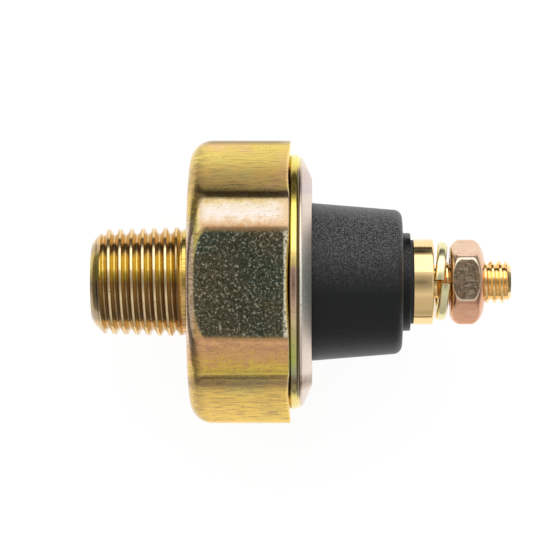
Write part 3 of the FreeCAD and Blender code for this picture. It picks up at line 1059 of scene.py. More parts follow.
@dataclass(frozen=True)
class ScuffedPlate:
    """Copper plate of the nut, dark and scratched on the two flats that it is laid on.

    Attributes:
        name: material name.
        axis: the sender's axis.
        turn: turn of the nut about the axis in radians.
        flat_band: distances from the axis, in metres, between which the dark hue sets in.
        cream, copper: hues of the plate; cream stands on the side towards +Y as a painted
            highlight, and in random patches.
        highlight_side, copper_patches: share of copper by y in metres, which paints the cream
            highlight towards +Y, and what the patches add to it.
        ruddy, ruddy_marks: hue and levels of marks drawn along the nut.
        brown, grey, grey_marks: hues of the two scratched flats, and levels of the grey.
        scratch, scratches: hue and levels of the light scratches on them.
        outline, outline_highlight_band, outline_highlight_share: pale line round them, a painted
        highlight, by distance from the axis.
        patch, grain, along, aslant: the patches, the grain, and marks drawn both ways.
        roughness, uneven: of the plate, and how much rougher the grain's peaks are.
        mark_depth, grain_depth: heights of the two reliefs in metres.
    """

    name: str
    axis: Axis
    turn: float
    flat_band: Slope = (0.00341, 0.003435)
    # Cream towards +Y is a painted highlight; copper is the plate's own hue
    cream: Colour = (0.82, 0.61, 0.43)
    copper: Colour = (0.77, 0.40, 0.24)
    highlight_side: Slope = (-0.001, 0.002, 0.8, 0.0)
    copper_patches: float = 0.4
    ruddy: Colour = (0.55, 0.28, 0.16)
    ruddy_marks: Slope = (0.50, 0.66, 0.0, 0.6)
    brown: Colour = (0.46, 0.30, 0.18)
    grey: Colour = (0.20, 0.16, 0.11)
    grey_marks: Slope = (0.42, 0.58)
    scratch: Colour = (0.90, 0.78, 0.60)
    scratches: Slope = (0.55, 0.64, 0.0, 0.7)
    # Pale line round the flats: a painted highlight
    outline: Colour = (0.98, 0.86, 0.66)
    outline_highlight_band: Band = (0.00336, 0.00343, 0.00001)
    outline_highlight_share: float = 0.75
    patch: Grain = (900.0, 4.0, 0.6)
    grain: Grain = (5200.0, 3.0, 0.65)
    along: Grain = (8500.0, 3.0, 0.7, (0.15, 1.0, 1.0))
    aslant: Grain = (6000.0, 3.0, 0.7, (1.0, 0.25, 1.0))
    roughness: float = 0.18
    uneven: float = 0.12
    mark_depth: float = 2e-6
    grain_depth: float = 3e-6

    def material(self) -> bpy.types.Material:
        """Builds the material: the plate, then the scratched flats and their outline.

        Returns:
            The new material.
        """
        graph = FinishGraph(self.name)
        place = graph.coordinates()
        above = graph.math("SUBTRACT", place["Z"], self.axis.height)
        leaned = graph.product(place["Y"], math.sin(self.turn))
        out = graph.size(graph.math("MULTIPLY_ADD", above, math.cos(self.turn), leaned))
        along = graph.noise(*self.along)
        grain = graph.noise(*self.grain)
        patches = graph.spread(graph.noise(*self.patch), *PATCH_LEVELS)
        # Copper below y = -1 mm, cream above 2 mm: the cream side towards +Y is a painted highlight
        side = graph.spread(place["Y"], *self.highlight_side)
        copper_share = graph.math("MULTIPLY_ADD", patches, self.copper_patches, side)
        plate = graph.mixed(copper_share, self.cream, self.copper)
        plate = graph.mixed(graph.spread(along, *self.ruddy_marks), plate, self.ruddy)
        greyed = graph.spread(graph.noise(*self.aslant), *self.grey_marks)
        scratched = graph.mixed(greyed, self.brown, self.grey)
        scratched = graph.mixed(graph.spread(along, *self.scratches), scratched, self.scratch)
        # Pale line round the scratched flats: a painted highlight
        line = graph.product(graph.between(out, *self.outline_highlight_band), self.outline_highlight_share)
        plate = graph.mixed(line, plate, self.outline)
        rough = graph.spread(grain, *GRAIN_LEVELS, self.roughness, self.roughness + self.uneven)
        relief = graph.bump(along, self.mark_depth)
        return graph.finish(
            {
                "Base Color": graph.mixed(graph.spread(out, *self.flat_band), plate, scratched),
                "Metallic": 1.0,
                "Roughness": rough,
                "Normal": graph.bump(grain, self.grain_depth, normal=relief),
            }
        )


@dataclass(frozen=True)
class MouldedPlastic:
    """Moulded plastic or rubber with a fine pebbled grain.

    Attributes:
        name: material name.
        colour: main hue.
        shade: hue of the grain's peaks.
        roughness: of the surface.
        grain: the pebbles.
        relief: height of the grain in metres.
        gloss: specular level.
        peaks: levels of the grain over which its peaks set in.
        painted_light_from, painted_light_fade: y in metres from which on the peaks show their hue,
        and over how far it sets in; where this leaves out the side towards -Y, the paler peaks
        towards +Y are painted light.
        smoother, rougher: how far the roughness of pits and peaks lies from the main one.
    """

    name: str
    colour: Colour
    shade: Colour
    roughness: float = 0.5
    grain: Grain = (4200.0, 2.0, 0.6)
    relief: float = 1.2e-5
    gloss: float = 0.5
    peaks: Slope = (0.46, 0.60)
    painted_light_from: float = -1.0
    painted_light_fade: float = 0.006
    smoother: float = 0.05
    rougher: float = 0.08

    def material(self) -> bpy.types.Material:
        """Builds the material.

        Returns:
            The new material.
        """
        graph = FinishGraph(self.name)
        grain = graph.noise(*self.grain)
        across = graph.coordinates()["Y"]
        # Peaks show their paler hue only from a y on: for the black moulding, painted light on the
        # side towards +Y
        peaks = graph.product(
            graph.spread(grain, *self.peaks),
            graph.spread(across, self.painted_light_from, self.painted_light_from + self.painted_light_fade),
        )
        rough = graph.spread(
            grain, *MOULD_LEVELS, self.roughness - self.smoother, self.roughness + self.rougher
        )
        return graph.finish(
            {
                "Base Color": graph.mixed(peaks, self.colour, self.shade),
                "Roughness": rough,
                "Specular IOR Level": self.gloss,
                "Normal": graph.bump(grain, self.relief),
            }
        )


def fit_out(piece: bpy.types.Object, node: str, body: Body,
            material: bpy.types.Material) -> bpy.types.Object:
    """Dresses a new piece, sets it on its body in place of a CAD node, and reports it.

    Args:
        piece: the new object.
        node: CAD node that it stands for.
        body: CAD body that it rides on.
        material: its finish.

    Returns:
        The same object.
    """
    piece.data.materials.append(material)
    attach(piece, body.value)
    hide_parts(node)
    LOG.info("%s: %d faces, stands for %s", piece.name, len(piece.data.polygons), node)
    return piece


@dataclass(frozen=True)
class SteelBody:
    """The steel body in one piece: threaded spigot, hexagon, rim and the lip rolled inwards.

    A pair of sizes is a station and a radius. The groove is its floor's station and its inner
    and outer radii, and a tip cone its radius at station 0 and how it grows with the station.
    """

    axis: Axis
    thread: ThreadForm = ThreadForm(
        pitch=1.03, depth=0.52, crest_at=0.75, crest_share=0.22, root_share=0.14
    )
    gauge_radius: float = 5.0
    gauge_station: float = 6.5
    taper: float = 1 / 32
    tip_cones: tuple[tuple[float, float], ...] = ((3.60, 1.45), (3.735, 0.98))
    fade_start: float = 7.6
    fade_end: float = 8.4
    band_radius: float = 4.875
    hex_front: float = 9.05
    hex_rear: float = 18.2
    across_flats: float = 24.0
    corner_radius: float = 13.0
    corner_softness: float = 0.09
    flat_rounding: float = 0.9
    rounding_power: float = 1.5
    rounding_rows: int = 13
    face_rows: int = 4
    corner_rounding: float = 2.0
    rear_rounding: float = 0.3
    rear_corner_rounding: float = 0.1
    rear_lean: float = 0.12
    rim_radius: float = 11.7
    rim_foot: tuple[float, float] = (18.21, 11.5)
    rim_foot_rounding: float = 0.198
    rim_shoulder: float = 19.07
    rim_rounding: float = 0.36
    lip_foot: tuple[float, float] = (19.09, 11.4)
    lip_shoulder: tuple[float, float] = (19.25, 11.52)
    lip_end: tuple[float, float] = (20.15, 9.448)
    lip_roundings: tuple[float, float, float] = (0.22, 0.28, 0.3)
    lip_underside: float = 19.05
    mouth_radius: float = 8.0
    cup_radius: float = 10.2
    cup_floor: float = 13.1
    chamber: tuple[float, float] = (12.4, 7.3)
    groove: tuple[float, float, float] = (12.2, 8.2, 9.7)
    orifice_radius: float = 0.6
    bore_radius: float = 1.75
    bore_end: float = 10.8
    drill_half_angle: float = math.radians(59)
    bore_chamfer: float = 0.35
    columns: int = 288

    def spigot(self, angle: Array) -> tuple[Array, Array]:
        """Thread from the tip to the plain band.

        The radius is the taper cone over the crests less the thread's depth, cut down by two
        steeper cones at the tip and eased into the band's radius over the last turn.

        Args:
            angle: angles of the columns.

        Returns:
            Station and radius grids.
        """
        station = self.thread.stations(0.0, self.fade_end, angle)
        turn = np.broadcast_to(angle, station.shape)
        crest = self.gauge_radius + (station - self.gauge_station) * self.taper
        radius = crest - self.thread.below_crest(station, turn)
        for start_radius, slope in self.tip_cones:
            radius = np.minimum(radius, start_radius + slope * station)
        fade = np.clip((station - self.fade_start) / (self.fade_end - self.fade_start), 0, 1)
        return station, radius + (self.band_radius - radius) * fade * fade

    def hexagon(self, angle: Array) -> tuple[Array, Array]:
        """Front face, rounded front edge, flats and rear edge of the hexagon.

        At each angle the edge is a quarter circle, whose radius grows from the flats to the
        corners with a power of how far the corner stands out. The outline is the smooth
        minimum of a sharp hexagon and the corner radius.

        Args:
            angle: angles of the columns.

        Returns:
            Station and radius grids.
        """
        sharp = sharp_hexagon(self.across_flats, angle)
        reach = smooth_least(sharp, self.corner_radius + 0 * angle, self.corner_softness)
        half = self.across_flats / 2
        stand = np.clip((reach - half) / (self.corner_radius - half), 0, 1)
        growth = self.corner_rounding - self.flat_rounding
        front = self.flat_rounding + growth * stand**self.rounding_power
        rear = self.rear_rounding + (self.rear_corner_rounding - self.rear_rounding) * stand
        swing = np.linspace(0, math.pi / 2, self.rounding_rows)[:, None]
        rear_at = self.hex_rear - self.rear_lean * (1 - stand)
        spread = np.linspace(0, 1, self.face_rows)[:-1, None]
        face = (
            self.hex_front + 0 * reach * spread,
            self.band_radius + (reach - front - self.band_radius) * spread,
        )
        nose = (
            self.hex_front + front * (1 - np.cos(swing)),
            reach - front * (1 - np.sin(swing)),
        )
        heel = (
            rear_at - rear * (1 - np.sin(swing[::2])),
            reach - rear * (1 - np.cos(swing[::2])),
        )
        return stack([face, nose, heel])

    def rim_and_hollow(self) -> Array:
        """Outline from the rim's foot over the lip, down inside the cup and out by the bore.

        Returns:
            Stations and radii, one point a row.
        """
        groove_floor, groove_inner, groove_outer = self.groove
        chamber_floor, chamber_radius = self.chamber
        drill = (self.bore_radius - self.orifice_radius) / math.tan(self.drill_half_angle)
        shoulder, edge, mouth = self.lip_roundings
        return rounded(
            [
                (self.hex_rear, self.rim_foot[1]),
                self.rim_foot,
                (self.rim_foot[0], self.rim_radius, self.rim_foot_rounding),
                (self.rim_shoulder, self.rim_radius, self.rim_rounding),
                (self.rim_shoulder, self.lip_foot[1]),
                self.lip_foot,
                (*self.lip_shoulder, shoulder),
                (*self.lip_end, edge),
                (self.lip_end[0], self.mouth_radius, mouth),
                (self.lip_underside, self.mouth_radius),
                (self.lip_underside, self.cup_radius),
                (self.cup_floor, self.cup_radius),
                (self.cup_floor, groove_outer),
                (groove_floor, groove_outer),
                (groove_floor, groove_inner),
                (self.cup_floor, groove_inner),
                (self.cup_floor, chamber_radius),
                (chamber_floor, chamber_radius),
                (chamber_floor, self.orifice_radius),
                (self.bore_end, self.orifice_radius),
                (self.bore_end - drill, self.bore_radius),
                (self.bore_chamfer, self.bore_radius),
                (0.0, self.bore_radius + self.bore_chamfer),
            ]
        )

    def build(self, material: bpy.types.Material) -> bpy.types.Object:
        """Makes the body as one closed surface and dresses it.

        Args:
            material: its finish.

        Returns:
            The new object, dressed and on its body.
        """
        angle = columns_around(self.columns)
        spigot = self.spigot(angle)
        closing = (spigot[0][:1], spigot[1][:1])
        rest = ring_rows(self.rim_and_hollow(), angle)
        station, radius = stack([spigot, self.hexagon(angle), rest, closing])
        piece = surface("steel_body", [self.axis.place(station, radius, angle)])
        return fit_out(piece, "hex_body", Body.HOUSING, material)


@dataclass(frozen=True)
class MouldedInsulator:
    """Insulator: clamped flange, tapered nose, boss with one notch, and the contact cavity."""

    axis: Axis
    flange_bottom: float = 15.45
    flange_top: float = 18.65
    flange_radius: float = 10.15
    base_radius: float = 7.375
    nose_end: float = 28.4
    nose_radius: float = 6.575
    end_rounding: float = 0.8
    end_samples: int = 12
    boss_top: float = 29.15
    boss_radius: float = 4.5
    boss_chamfer: float = 0.08
    boss_gap: float = 0.25
    bore_radius: float = 1.65
    cavity_roof: float = 22.0
    cavity_radius: float = 5.2
    cavity_rounding: float = 0.5
    notch_angle: float = math.radians(52)
    notch_width: float = 1.6
    notch_depth: float = 0.7
    columns: int = 192

    def build(self, material: bpy.types.Material) -> bpy.types.Object:
        """Makes the insulator.

        The outline is turned about the axis. Within the notch's half angle the boss's radius
        drops to a flat: the boss radius less the depth, over the cosine of the angle from the
        notch's middle.

        Args:
            material: its finish.

        Returns:
            The new object, dressed and on its body.
        """
        half = math.asin(self.notch_width / 2 / self.boss_radius)
        reach = (-half - CLOSE_RING, -half, half, half + CLOSE_RING)
        angle = columns_around(self.columns, [self.notch_angle + turn for turn in reach])
        below = ring_rows(
            rounded(
                [
                    (self.flange_bottom, self.cavity_radius),
                    (self.flange_bottom, self.flange_radius),
                    (self.flange_top, self.flange_radius),
                    (self.flange_top, self.base_radius),
                    (self.nose_end, self.nose_radius, self.end_rounding),
                    (self.nose_end, self.boss_radius + self.boss_gap),
                ],
                samples=self.end_samples,
            ),
            angle,
        )
        from_notch = angle - self.notch_angle
        cut = (self.boss_radius - self.notch_depth) / np.cos(from_notch)
        boss = np.where(np.abs(from_notch) < half + CLOSE_RING / 2, cut, self.boss_radius)
        lift = np.array([self.nose_end, self.boss_top - self.boss_chamfer, self.boss_top])[:, None]
        sink = np.array([0.0, 0.0, self.boss_chamfer])[:, None]
        top = (lift + 0 * boss, boss - sink)
        inside = ring_rows(
            rounded(
                [
                    (self.boss_top, self.bore_radius),
                    (self.cavity_roof, self.bore_radius),
                    (self.cavity_roof, self.cavity_radius, self.cavity_rounding),
                    (self.flange_bottom, self.cavity_radius),
                ]
            ),
            angle,
        )
        station, radius = stack([below, top, inside])
        piece = surface("nose_moulding", [self.axis.place(station, radius, angle)])
        return fit_out(piece, "insulator", Body.HOUSING, material)


@dataclass(frozen=True)
class Terminal:
    """Terminal stud: rivet head, shank, collar, undercut and threaded end.

    The rivet head is the stations of its two faces and its radius.
    """

    axis: Axis
    thread: ThreadForm = ThreadForm(
        pitch=0.7, depth=0.33, crest_at=0.35, crest_share=0.24, root_share=0.16
    )
    rivet: tuple[float, float, float] = (21.0, 21.5, 2.3)
    rivet_rounding: float = 0.3
    shank_radius: float = 1.6
    seal_top: float = 29.4
    collar_radius: float = 3.95
    collar_top: float = 31.25
    collar_rounding: float = 0.2
    seat_rounding: float = 0.08
    undercut_radius: float = 1.55
    undercut_rounding: float = 0.1
    undercut_margin: float = 0.1
    thread_start: float = 31.6
    thread_radius: float = 1.95
    tip: float = 38.35
    tip_chamfer: float = 0.45
    lead_in_turns: float = 0.5
    samples: int = 6
    columns: int = 144

    def threaded_radius(self, station: Array, angle: Array) -> Array:
        """Radius of the threaded end.

        The lesser of the thread's surface and a 45 degree cone at the tip, and at the start it
        grows evenly out of the undercut.

        Args:
            station: stations of the points.
            angle: their angles.

        Returns:
            Radii of the points.
        """
        cone = self.thread_radius - self.tip_chamfer + self.tip - station
        thread = self.thread_radius - self.thread.below_crest(station, angle)
        length = self.thread.pitch * self.lead_in_turns
        lead_in = np.clip((station - self.thread_start) / length, 0, 1)
        return self.undercut_radius + (np.minimum(thread, cone) - self.undercut_radius) * lead_in

    def build(self, material: bpy.types.Material) -> bpy.types.Object:
        """Makes the stud as one surface from the middle of its rivet head to its tip.

        Args:
            material: its finish.

        Returns:
            The new object, dressed and on its body.
        """
        angle = columns_around(self.columns)
        rivet_bottom, rivet_top, rivet_radius = self.rivet
        shank = rounded(
            [
                (rivet_bottom, 0.0),
                (rivet_bottom, rivet_radius, self.rivet_rounding),
                (rivet_top, rivet_radius),
                (rivet_top, self.shank_radius),
                (self.seal_top, self.shank_radius),
                (self.seal_top, self.collar_radius, self.seat_rounding),
                (self.collar_top, self.collar_radius, self.collar_rounding),
                (self.collar_top, self.undercut_radius, self.undercut_rounding),
                (self.thread_start - self.undercut_margin, self.undercut_radius),
            ],
            samples=self.samples,
        )
        station = self.thread.stations(self.thread_start, self.tip, angle)
        threaded = (station, self.threaded_radius(station, np.broadcast_to(angle, station.shape)))
        end = ring_rows(np.array([[self.tip, 0.0]]), angle)
        station, radius = stack([ring_rows(shank, angle), threaded, end])
        piece = surface("stud", [self.axis.place(station, radius, angle)])
        return fit_out(piece, "terminal_stud", Body.HOUSING, material)


@dataclass(frozen=True)
class SplitWasher:
    """Split spring washer: one open turn of rounded rectangular bar, a little tilted."""

    axis: Axis
    bore_radius: float = 2.2
    outer_radius: float = 3.62
    thickness: float = 0.88
    start: float = 31.3
    rise: float = 0.58
    gap: float = math.radians(5)
    tilt: float = math.radians(4.3)
    side_play: float = 0.08
    edge_rounding: float = 0.28
    hand: Hand = Hand.LEFT
    samples: int = 5
    steps: int = 150

    def section(self) -> Array:
        """Closed outline of the bar: station offsets and radii, corners rounded.

        Returns:
            Station offsets and radii, one point a row.
        """
        high, corner = self.thickness, self.edge_rounding
        inner, outer = self.bore_radius, self.outer_radius
        middle = (inner + outer) / 2
        return rounded(
            [
                (0.0, middle),
                (0.0, outer, corner),
                (high, outer, corner),
                (high, inner, corner),
                (0.0, inner, corner),
                (0.0, middle),
            ],
            samples=self.samples,
        )

    def build(self, material: bpy.types.Material) -> bpy.types.Object:
        """Makes the washer.

        The bar's section is carried round the axis as its station climbs evenly by the rise. A
        point is then turned by the tilt about the washer's upright middle line and shifted
        aside by the play. Both ends close onto the middle of the section.

        Args:
            material: its finish.

        Returns:
            The new object, dressed and on its body.
        """
        section = self.section()
        turn = np.linspace(self.gap / 2, FULL_TURN - self.gap / 2, self.steps)
        turn = np.concatenate([turn[:1], turn, turn[-1:]])
        climb = np.clip((turn - self.gap / 2) / (FULL_TURN - self.gap), 0, 1) * self.rise
        outline = np.broadcast_to(section, (len(turn), *section.shape)).copy()
        outline[[0, -1]] = section.mean(axis=0)
        station = self.start + climb[:, None] + outline[..., 0]
        points = self.axis.place(station, outline[..., 1], self.hand.value * turn[:, None])
        middle = self.start + (self.rise + self.thickness) / 2
        centre = np.array([self.axis.tip + middle * MM, 0.0])
        along, across = np.moveaxis(points[..., :2] - centre, -1, 0)
        cosine, sine = math.cos(self.tilt), math.sin(self.tilt)
        swung = np.stack([along * cosine + across * sine, across * cosine - along * sine], axis=-1)
        points[..., :2] = swung + centre + np.array([0.0, self.side_play * MM])
        piece = surface("split_washer", [points])
        return fit_out(piece, "spring_washer", Body.WASHER, material)


@dataclass(frozen=True)
class HexNut:
    """Terminal nut: a small hexagon domed at both ends, with its thread matched to the stud.

    A dome is its length and the radius that it leaves on the face.
    """

    axis: Axis
    stud: Terminal
    start: float = 32.8
    end: float = 35.9
    across_flats: float = 6.9
    corner_radius: float = 3.9
    softness: float = 0.03
    turn: float = math.radians(5)
    inner_dome: tuple[float, float] = (0.95, 3.05)
    outer_dome: tuple[float, float] = (1.15, 2.35)
    dome_power: float = 1.7
    bore_radius: float = 2.0
    bore_chamfer: float = 0.3
    thread_clearance: float = 0.03
    rows: int = 97
    columns: int = 288

    def dome(self, station: Array) -> Array:
        """Radius of the domed envelope.

        Towards each face it drops from the corner radius to the face radius along a
        superellipse: the drop is the height times 1 - (1 - u^p)^(1/p), with u the share of the
        dome's length.

        Args:
            station: stations along the nut.

        Returns:
            Radii at the stations.
        """
        radius = np.full_like(station, self.corner_radius)
        for (length, face), from_face in (
            (self.inner_dome, station - self.start), (self.outer_dome, self.end - station)
        ):
            share = np.clip(1 - from_face / length, 0, 1)
            height = (1 - share**self.dome_power) ** (1 / self.dome_power)
            radius = np.minimum(radius, face + (self.corner_radius - face) * height)
        return radius

    def build(self, material: bpy.types.Material) -> bpy.types.Object:
        """Makes the nut.

        The outside radius is the smooth minimum of the domed envelope and the hexagon, on rows
        that lie closer towards both faces. The bore follows the stud's thread with an even
        clearance, opened by a chamfer at each end.

        Args:
            material: its finish.

        Returns:
            The new object, dressed and on its body.
        """
        angle = columns_around(self.columns)
        share = np.linspace(0, 1, self.rows)
        crowded = share - np.sin(FULL_TURN * share) / FULL_TURN
        along = self.start + (self.end - self.start) * crowded
        envelope = self.dome(along)[:, None]
        flat = sharp_hexagon(self.across_flats, angle - self.turn)
        outer = smooth_least(envelope + 0 * flat, flat + 0 * envelope, self.softness)
        mouth = self.bore_radius + self.bore_chamfer
        opening = np.full((1, len(angle)), mouth)
        outer = np.concatenate([opening, outer, opening])
        rows = np.concatenate([[self.start], along, [self.end]])
        outside = (np.broadcast_to(rows[:, None], outer.shape), outer)
        thread = self.stud.thread
        station = thread.stations(self.start, self.end, angle)
        turn = np.broadcast_to(angle, station.shape)
        bore = self.stud.thread_radius - thread.below_crest(station, turn) + self.thread_clearance
        opening = mouth - np.minimum(station - self.start, self.end - station)
        inside = (station[::-1], np.maximum(bore, opening)[::-1])
        station, radius = stack([outside, inside])
        piece = surface("domed_nut", [self.axis.place(station, radius, angle)])
        return fit_out(piece, "terminal_nut", Body.NUT, material)


@dataclass(frozen=True)
class ContactSpring:
    """Contact spring: a coil of round wire, its open ends ground flat."""

    axis: Axis
    start: float = 16.25
    end: float = 21.5
    coil_radius: float = 3.0
    wire_radius: float = 0.25
    turns: float = 5.0
    travel: float = 0.5
    hand: Hand = Hand.RIGHT
    steps: int = 360
    sides: int = 16

    def build(self, material: bpy.types.Material) -> bpy.types.Object:
        """Makes the spring.

        A point of the wire lies at the coil's centre line plus the wire radius times the cosine
        of its own turn along the axis, and times the sine outwards. The centre line climbs
        evenly from straight below, and stations are held between the two ground ends.

        Args:
            material: its finish.

        Returns:
            The new object, dressed and on its body.
        """
        share = np.linspace(0, 1, self.steps)
        share = np.concatenate([share[:1], share, share[-1:]])[:, None]
        wire = np.full_like(share, self.wire_radius)
        wire[[0, -1]] = 0.0
        round_wire = columns_around(self.sides)
        length = self.end - self.start
        centre = self.start + length * share
        station = np.clip(centre + wire * np.cos(round_wire), self.start, self.end)
        radius = self.coil_radius + wire * np.sin(round_wire)
        angle = math.pi + self.hand.value * FULL_TURN * self.turns * share
        piece = surface("coil_spring", [self.axis.place(station, radius, angle)])
        fit_out(piece, "contact_spring", Body.HOUSING, material)
        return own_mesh(piece)


# Levels of the white card on the table, by place along y in metres
CARD = (
    (-0.1, 0.70), (-0.062, 0.62), (-0.056, 0.42), (-0.0535, 0.18), (-0.0435, 0.16), (-0.0415, 0.6),
    (-0.0390, 1.0), (-0.034, 1.12), (0.035, 1.15), (0.0385, 1.06), (0.041, 0.90), (0.0432, 0.52),
    (0.0450, 0.18), (0.048, 0.08), (0.1, 0.06),
)
# Levels of the room, by the y of a direction
ROOM = (
    (-1.0, 0.50), (-0.95, 0.55), (-0.72, 0.56), (-0.56, 0.70), (-0.30, 0.72), (0.0, 0.68),
    (0.30, 0.80), (0.40, 0.92), (0.53, 0.95), (0.68, 1.0), (0.88, 0.98), (0.965, 0.96),
    (0.985, 0.80), (0.996, 0.35), (1.0, 0.15),
)
# Share of it that is left near straight above, by the z of a direction
OVERHEAD = ((0.86, 1.0), (0.92, 0.85), (0.95, 0.68), (0.972, 0.56), (0.990, 0.52), (0.997, 0.34))


@dataclass(frozen=True)
class Lamp:
    """Soft rectangular lamp that faces the sender.

    Attributes:
        name: name of the lamp.
        tilt: angle from straight above towards +Y in radians.
        width: size across the sender in metres.
        power: in watts.
        length: size along the sender in metres.
        distance: from the sender in metres.
    """

    name: str
    tilt: float
    width: float
    power: float
    length: float = 1.2
    distance: float = 0.5

    def hang(self, height: float) -> None:
        """Adds the lamp, turned towards a point of the sender's axis at the given height.

        Args:
            height: height over the table in metres.
        """
        data = bpy.data.lights.new(self.name, "AREA")
        data.shape = "RECTANGLE"
        data.size, data.size_y = self.length, self.width
        data.energy = self.power
        lamp = bpy.data.objects.new(self.name, data)
        across = math.sin(self.tilt) * self.distance
        place = Vector((0, across, math.cos(self.tilt) * self.distance + height))
        lamp.location = place
        lamp.rotation_euler = (Vector((0, 0, height)) - place).to_track_quat("-Z", "Y").to_euler()
        bpy.context.scene.collection.objects.link(lamp)


@dataclass(frozen=True)
class Studio:
    """Pale table, soft lamps, dim surroundings and the camera, in metres and Blender's levels.

    Attributes:
        camera_place, camera_target: where the camera is and what it looks at.
        lens: focal length in millimetres.
        near, far: limits of what the camera sees.
        table_radius, table_rings, table_columns: size and grid of the round table top.
        table_grey: what the table's matte part reflects.
        table_whitening: share of plain white in what the eye sees of it.
        table_white: level of that white.
        glow: strength of the table's emission.
        card_end, past_card: places along x where the card ends, and the level past it.
        horizon: room's level by z of a direction, from the horizon upwards.
        near_side: the same by y, so that the side towards -Y stays lit.
        lamps: key and fill lamp.
    """

    camera_place: tuple[float, float, float] = (0.00235, 0.0044, 0.262)
    camera_target: tuple[float, float, float] = (-0.00197, 0.00017, 0.012)
    lens: float = 174.7
    near: float = 0.01
    far: float = 10.0
    table_radius: float = 0.10
    table_rings: int = 9
    table_columns: int = 96
    table_grey: float = 0.97
    table_whitening: float = 0.85
    table_white: float = 1.06
    glow: float = 1.25
    card_end: Slope = (0.046, 0.052)
    past_card: float = 0.25
    horizon: Slope = (0.02, 0.20, 0.25, 1.0)
    near_side: Slope = (-0.9, -0.3, 1.0, 0.0)
    lamps: tuple[Lamp, ...] = (
        Lamp("key", math.radians(53), 0.46, 1.5), Lamp("fill", math.radians(-56), 0.50, 0.12)
    )

    def camera(self) -> None:
        """Adds the camera straight above, a little off the middle, with +Y up in the picture."""
        data = bpy.data.cameras.new("camera")
        data.lens = self.lens
        data.clip_start, data.clip_end = self.near, self.far
        camera = bpy.data.objects.new("camera", data)
        place = Vector(self.camera_place)
        back = (place - Vector(self.camera_target)).normalized()
        right = Vector((0, 1, 0)).cross(back).normalized()
        turn = Matrix((right, back.cross(right), back)).transposed()
        camera.location = place
        camera.rotation_euler = turn.to_euler()
        bpy.context.scene.collection.objects.link(camera)
        bpy.context.scene.camera = camera

    def table(self) -> None:
        """Adds the pale round table top under the sender.

        The eye sees it near white with a faint shadow. Metal sees a white card on it that
        reaches about 40 mm to each side of the axis, and a dimmer table beyond.
        """
        rings = np.linspace(0, self.table_radius, self.table_rings)[:, None]
        angle = columns_around(self.table_columns)
        flat = np.stack([rings * np.cos(angle), rings * np.sin(angle), 0 * rings * angle], axis=-1)
        top = surface("table", [flat])
        graph = FinishGraph("pale_table")
        rays = graph.node("ShaderNodeLightPath").outputs
        place = graph.coordinates()
        card = graph.levels_along(place["Y"], CARD, 1 / self.glow)
        past_end = graph.spread(graph.size(place["X"]), *self.card_end)
        card = graph.mixed(past_end, card, (self.past_card,) * 3)
        mirrored = graph.math("MAXIMUM", rays["Is Glossy Ray"], rays["Is Transmission Ray"])
        looked_at = graph.product(rays["Is Camera Ray"], self.table_whitening)
        share = graph.math("MAXIMUM", mirrored, looked_at)
        colour = graph.mixed(mirrored, (self.table_white / self.glow,) * 3, card)
        grey = opaque((self.table_grey,) * 3)
        matte = graph.node("ShaderNodeBsdfDiffuse", {"Color": grey})
        glow = graph.node("ShaderNodeEmission", {"Color": colour, "Strength": self.glow})
        mix = graph.node("ShaderNodeMixShader", {0: share, 1: matte.outputs[0], 2: glow.outputs[0]})
        graph.feed(graph.output.inputs["Surface"], mix.outputs[0])
        top.data.materials.append(graph.material)
        top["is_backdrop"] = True

    def world(self) -> None:
        """Surroundings: white behind the sender for the eye, and a room lit from +Y for metal.

        The room's level depends on the direction's y, and falls near the horizon.
        """
        world = bpy.data.worlds.new("room")
        bpy.context.scene.world = world
        world.use_nodes = True
        graph = Graph(world.node_tree)
        toward = graph.node("ShaderNodeTexCoord").outputs["Generated"]
        split = graph.node("ShaderNodeSeparateXYZ", {0: toward}).outputs
        level = graph.product(
            graph.levels_along(split["Y"], ROOM), graph.levels_along(split["Z"], OVERHEAD)
        )
        rise = graph.spread(split["Z"], *self.horizon)
        near = graph.spread(split["Y"], *self.near_side)
        level = graph.product(level, graph.math("MAXIMUM", rise, near))
        room = graph.node("ShaderNodeBackground", {"Color": WHITE, "Strength": level})
        white = graph.node("ShaderNodeBackground", {"Color": WHITE})
        seen = graph.node("ShaderNodeLightPath").outputs["Is Camera Ray"]
        mix = graph.node("ShaderNodeMixShader", {0: seen, 1: room.outputs[0], 2: white.outputs[0]})
        graph.node("ShaderNodeOutputWorld", {"Surface": mix.outputs[0]})

    def build(self) -> None:
        """Sets up the camera, table, room and lamps, and the plain view transform."""
        self.camera()
        self.table()
        self.world()
        for lamp in self.lamps:
            lamp.hang(self.camera_target[2])
        bpy.context.scene.view_settings.view_transform = "Standard"


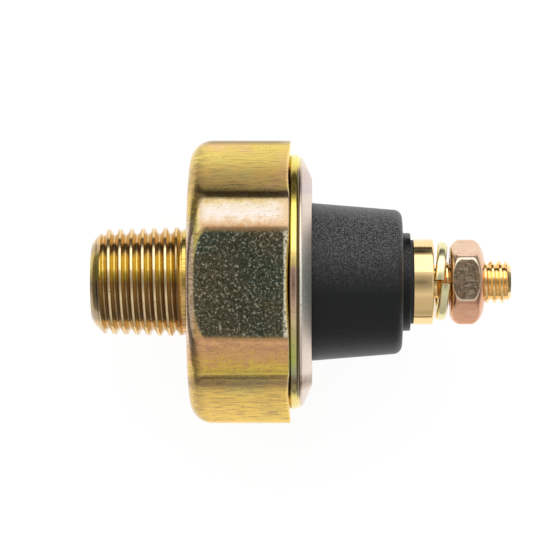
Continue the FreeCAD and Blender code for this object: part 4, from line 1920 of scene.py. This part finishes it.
class HiddenPieces:
    """Finishes of the CAD nodes that keep their own meshes."""

    def build(self, nodes: dict[str, bpy.types.Object]) -> None:
        """Gives each carried-over node its procedural finish.

        Args:
            nodes: the frame's CAD nodes by name.
        """
        steel = PlainMetal("inner_steel", (0.62, 0.61, 0.60), (0.50, 0.49, 0.47)).material()
        contact = PlainMetal("contact_metal", (0.86, 0.80, 0.68), (0.78, 0.66, 0.48)).material()
        zinc = PlainMetal("seat_washer", (0.78, 0.74, 0.52), (0.66, 0.60, 0.40)).material()
        rubber = MouldedPlastic(
            "black_rubber", (0.02, 0.02, 0.02), (0.035, 0.034, 0.033), roughness=0.6
        ).material()
        film = MouldedPlastic(
            "diaphragm_film", (0.55, 0.33, 0.10), (0.48, 0.27, 0.08), roughness=0.3
        ).material()
        nylon = MouldedPlastic(
            "pusher_plastic", (0.72, 0.70, 0.62), (0.66, 0.63, 0.55), roughness=0.4
        ).material()
        finishes = {
            "seal_ring": rubber,
            "rim_gasket": rubber,
            "terminal_seal": rubber,
            "diaphragm": film,
            "spacer_ring": steel,
            "thrust_plate": steel,
            "contact_plate": contact,
            "fixed_contacts": contact,
            "moving_contact": contact,
            "pusher": nylon,
            "backing_washer": zinc,
        }
        for name, material in finishes.items():
            mesh = nodes[name].data
            mesh.materials.clear()
            mesh.materials.append(material)
            LOG.info("%s keeps its CAD mesh, finished as %s", name, material.name)


def corners() -> list[list[float]]:
    """The shown object's lowest and highest corners as plain lists."""
    return [list(corner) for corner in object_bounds()]


def main() -> None:
    """Builds the sender's pieces and the studio around the frame."""
    logging.basicConfig(level=logging.INFO, format="%(message)s")
    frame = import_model()
    low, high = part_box("hex_body")
    axis = Axis(tip=low.x, height=(low.z + high.z) / 2)
    # Paler grain peaks only on the side towards +Y: painted light on the black moulding's lit side
    black = MouldedPlastic(
        "black_moulding", (0.0, 0.001, 0.002), (0.135, 0.136, 0.137), roughness=0.38,
        grain=(8000.0, 2.0, 0.6), relief=6e-5, gloss=0.36, painted_light_from=-0.001,
    )
    brass = PlainMetal(
        "stud_brass", (0.96, 0.70, 0.35), (0.93, 0.64, 0.28), roughness=0.08, uneven=0.06,
        grain=(3500.0, 3.0, 0.65), relief=1e-6,
    )
    zinc = PlainMetal("washer_zinc", (0.86, 0.79, 0.49), (0.76, 0.70, 0.36), roughness=0.16)
    wire = PlainMetal("spring_wire", (0.55, 0.54, 0.53), (0.40, 0.39, 0.38))
    stud = Terminal(axis)
    SteelBody(axis).build(ChromatePlate("yellow_chromate", axis).material())
    MouldedInsulator(axis).build(black.material())
    stud.build(brass.material())
    SplitWasher(axis).build(zinc.material())
    HexNut(axis, stud).build(ScuffedPlate("nut_plate", axis, HexNut.turn).material())
    ContactSpring(axis).build(wire.material())
    HiddenPieces().build(frame["nodes"])
    Studio().build()


if __name__ == "__main__":
    main()
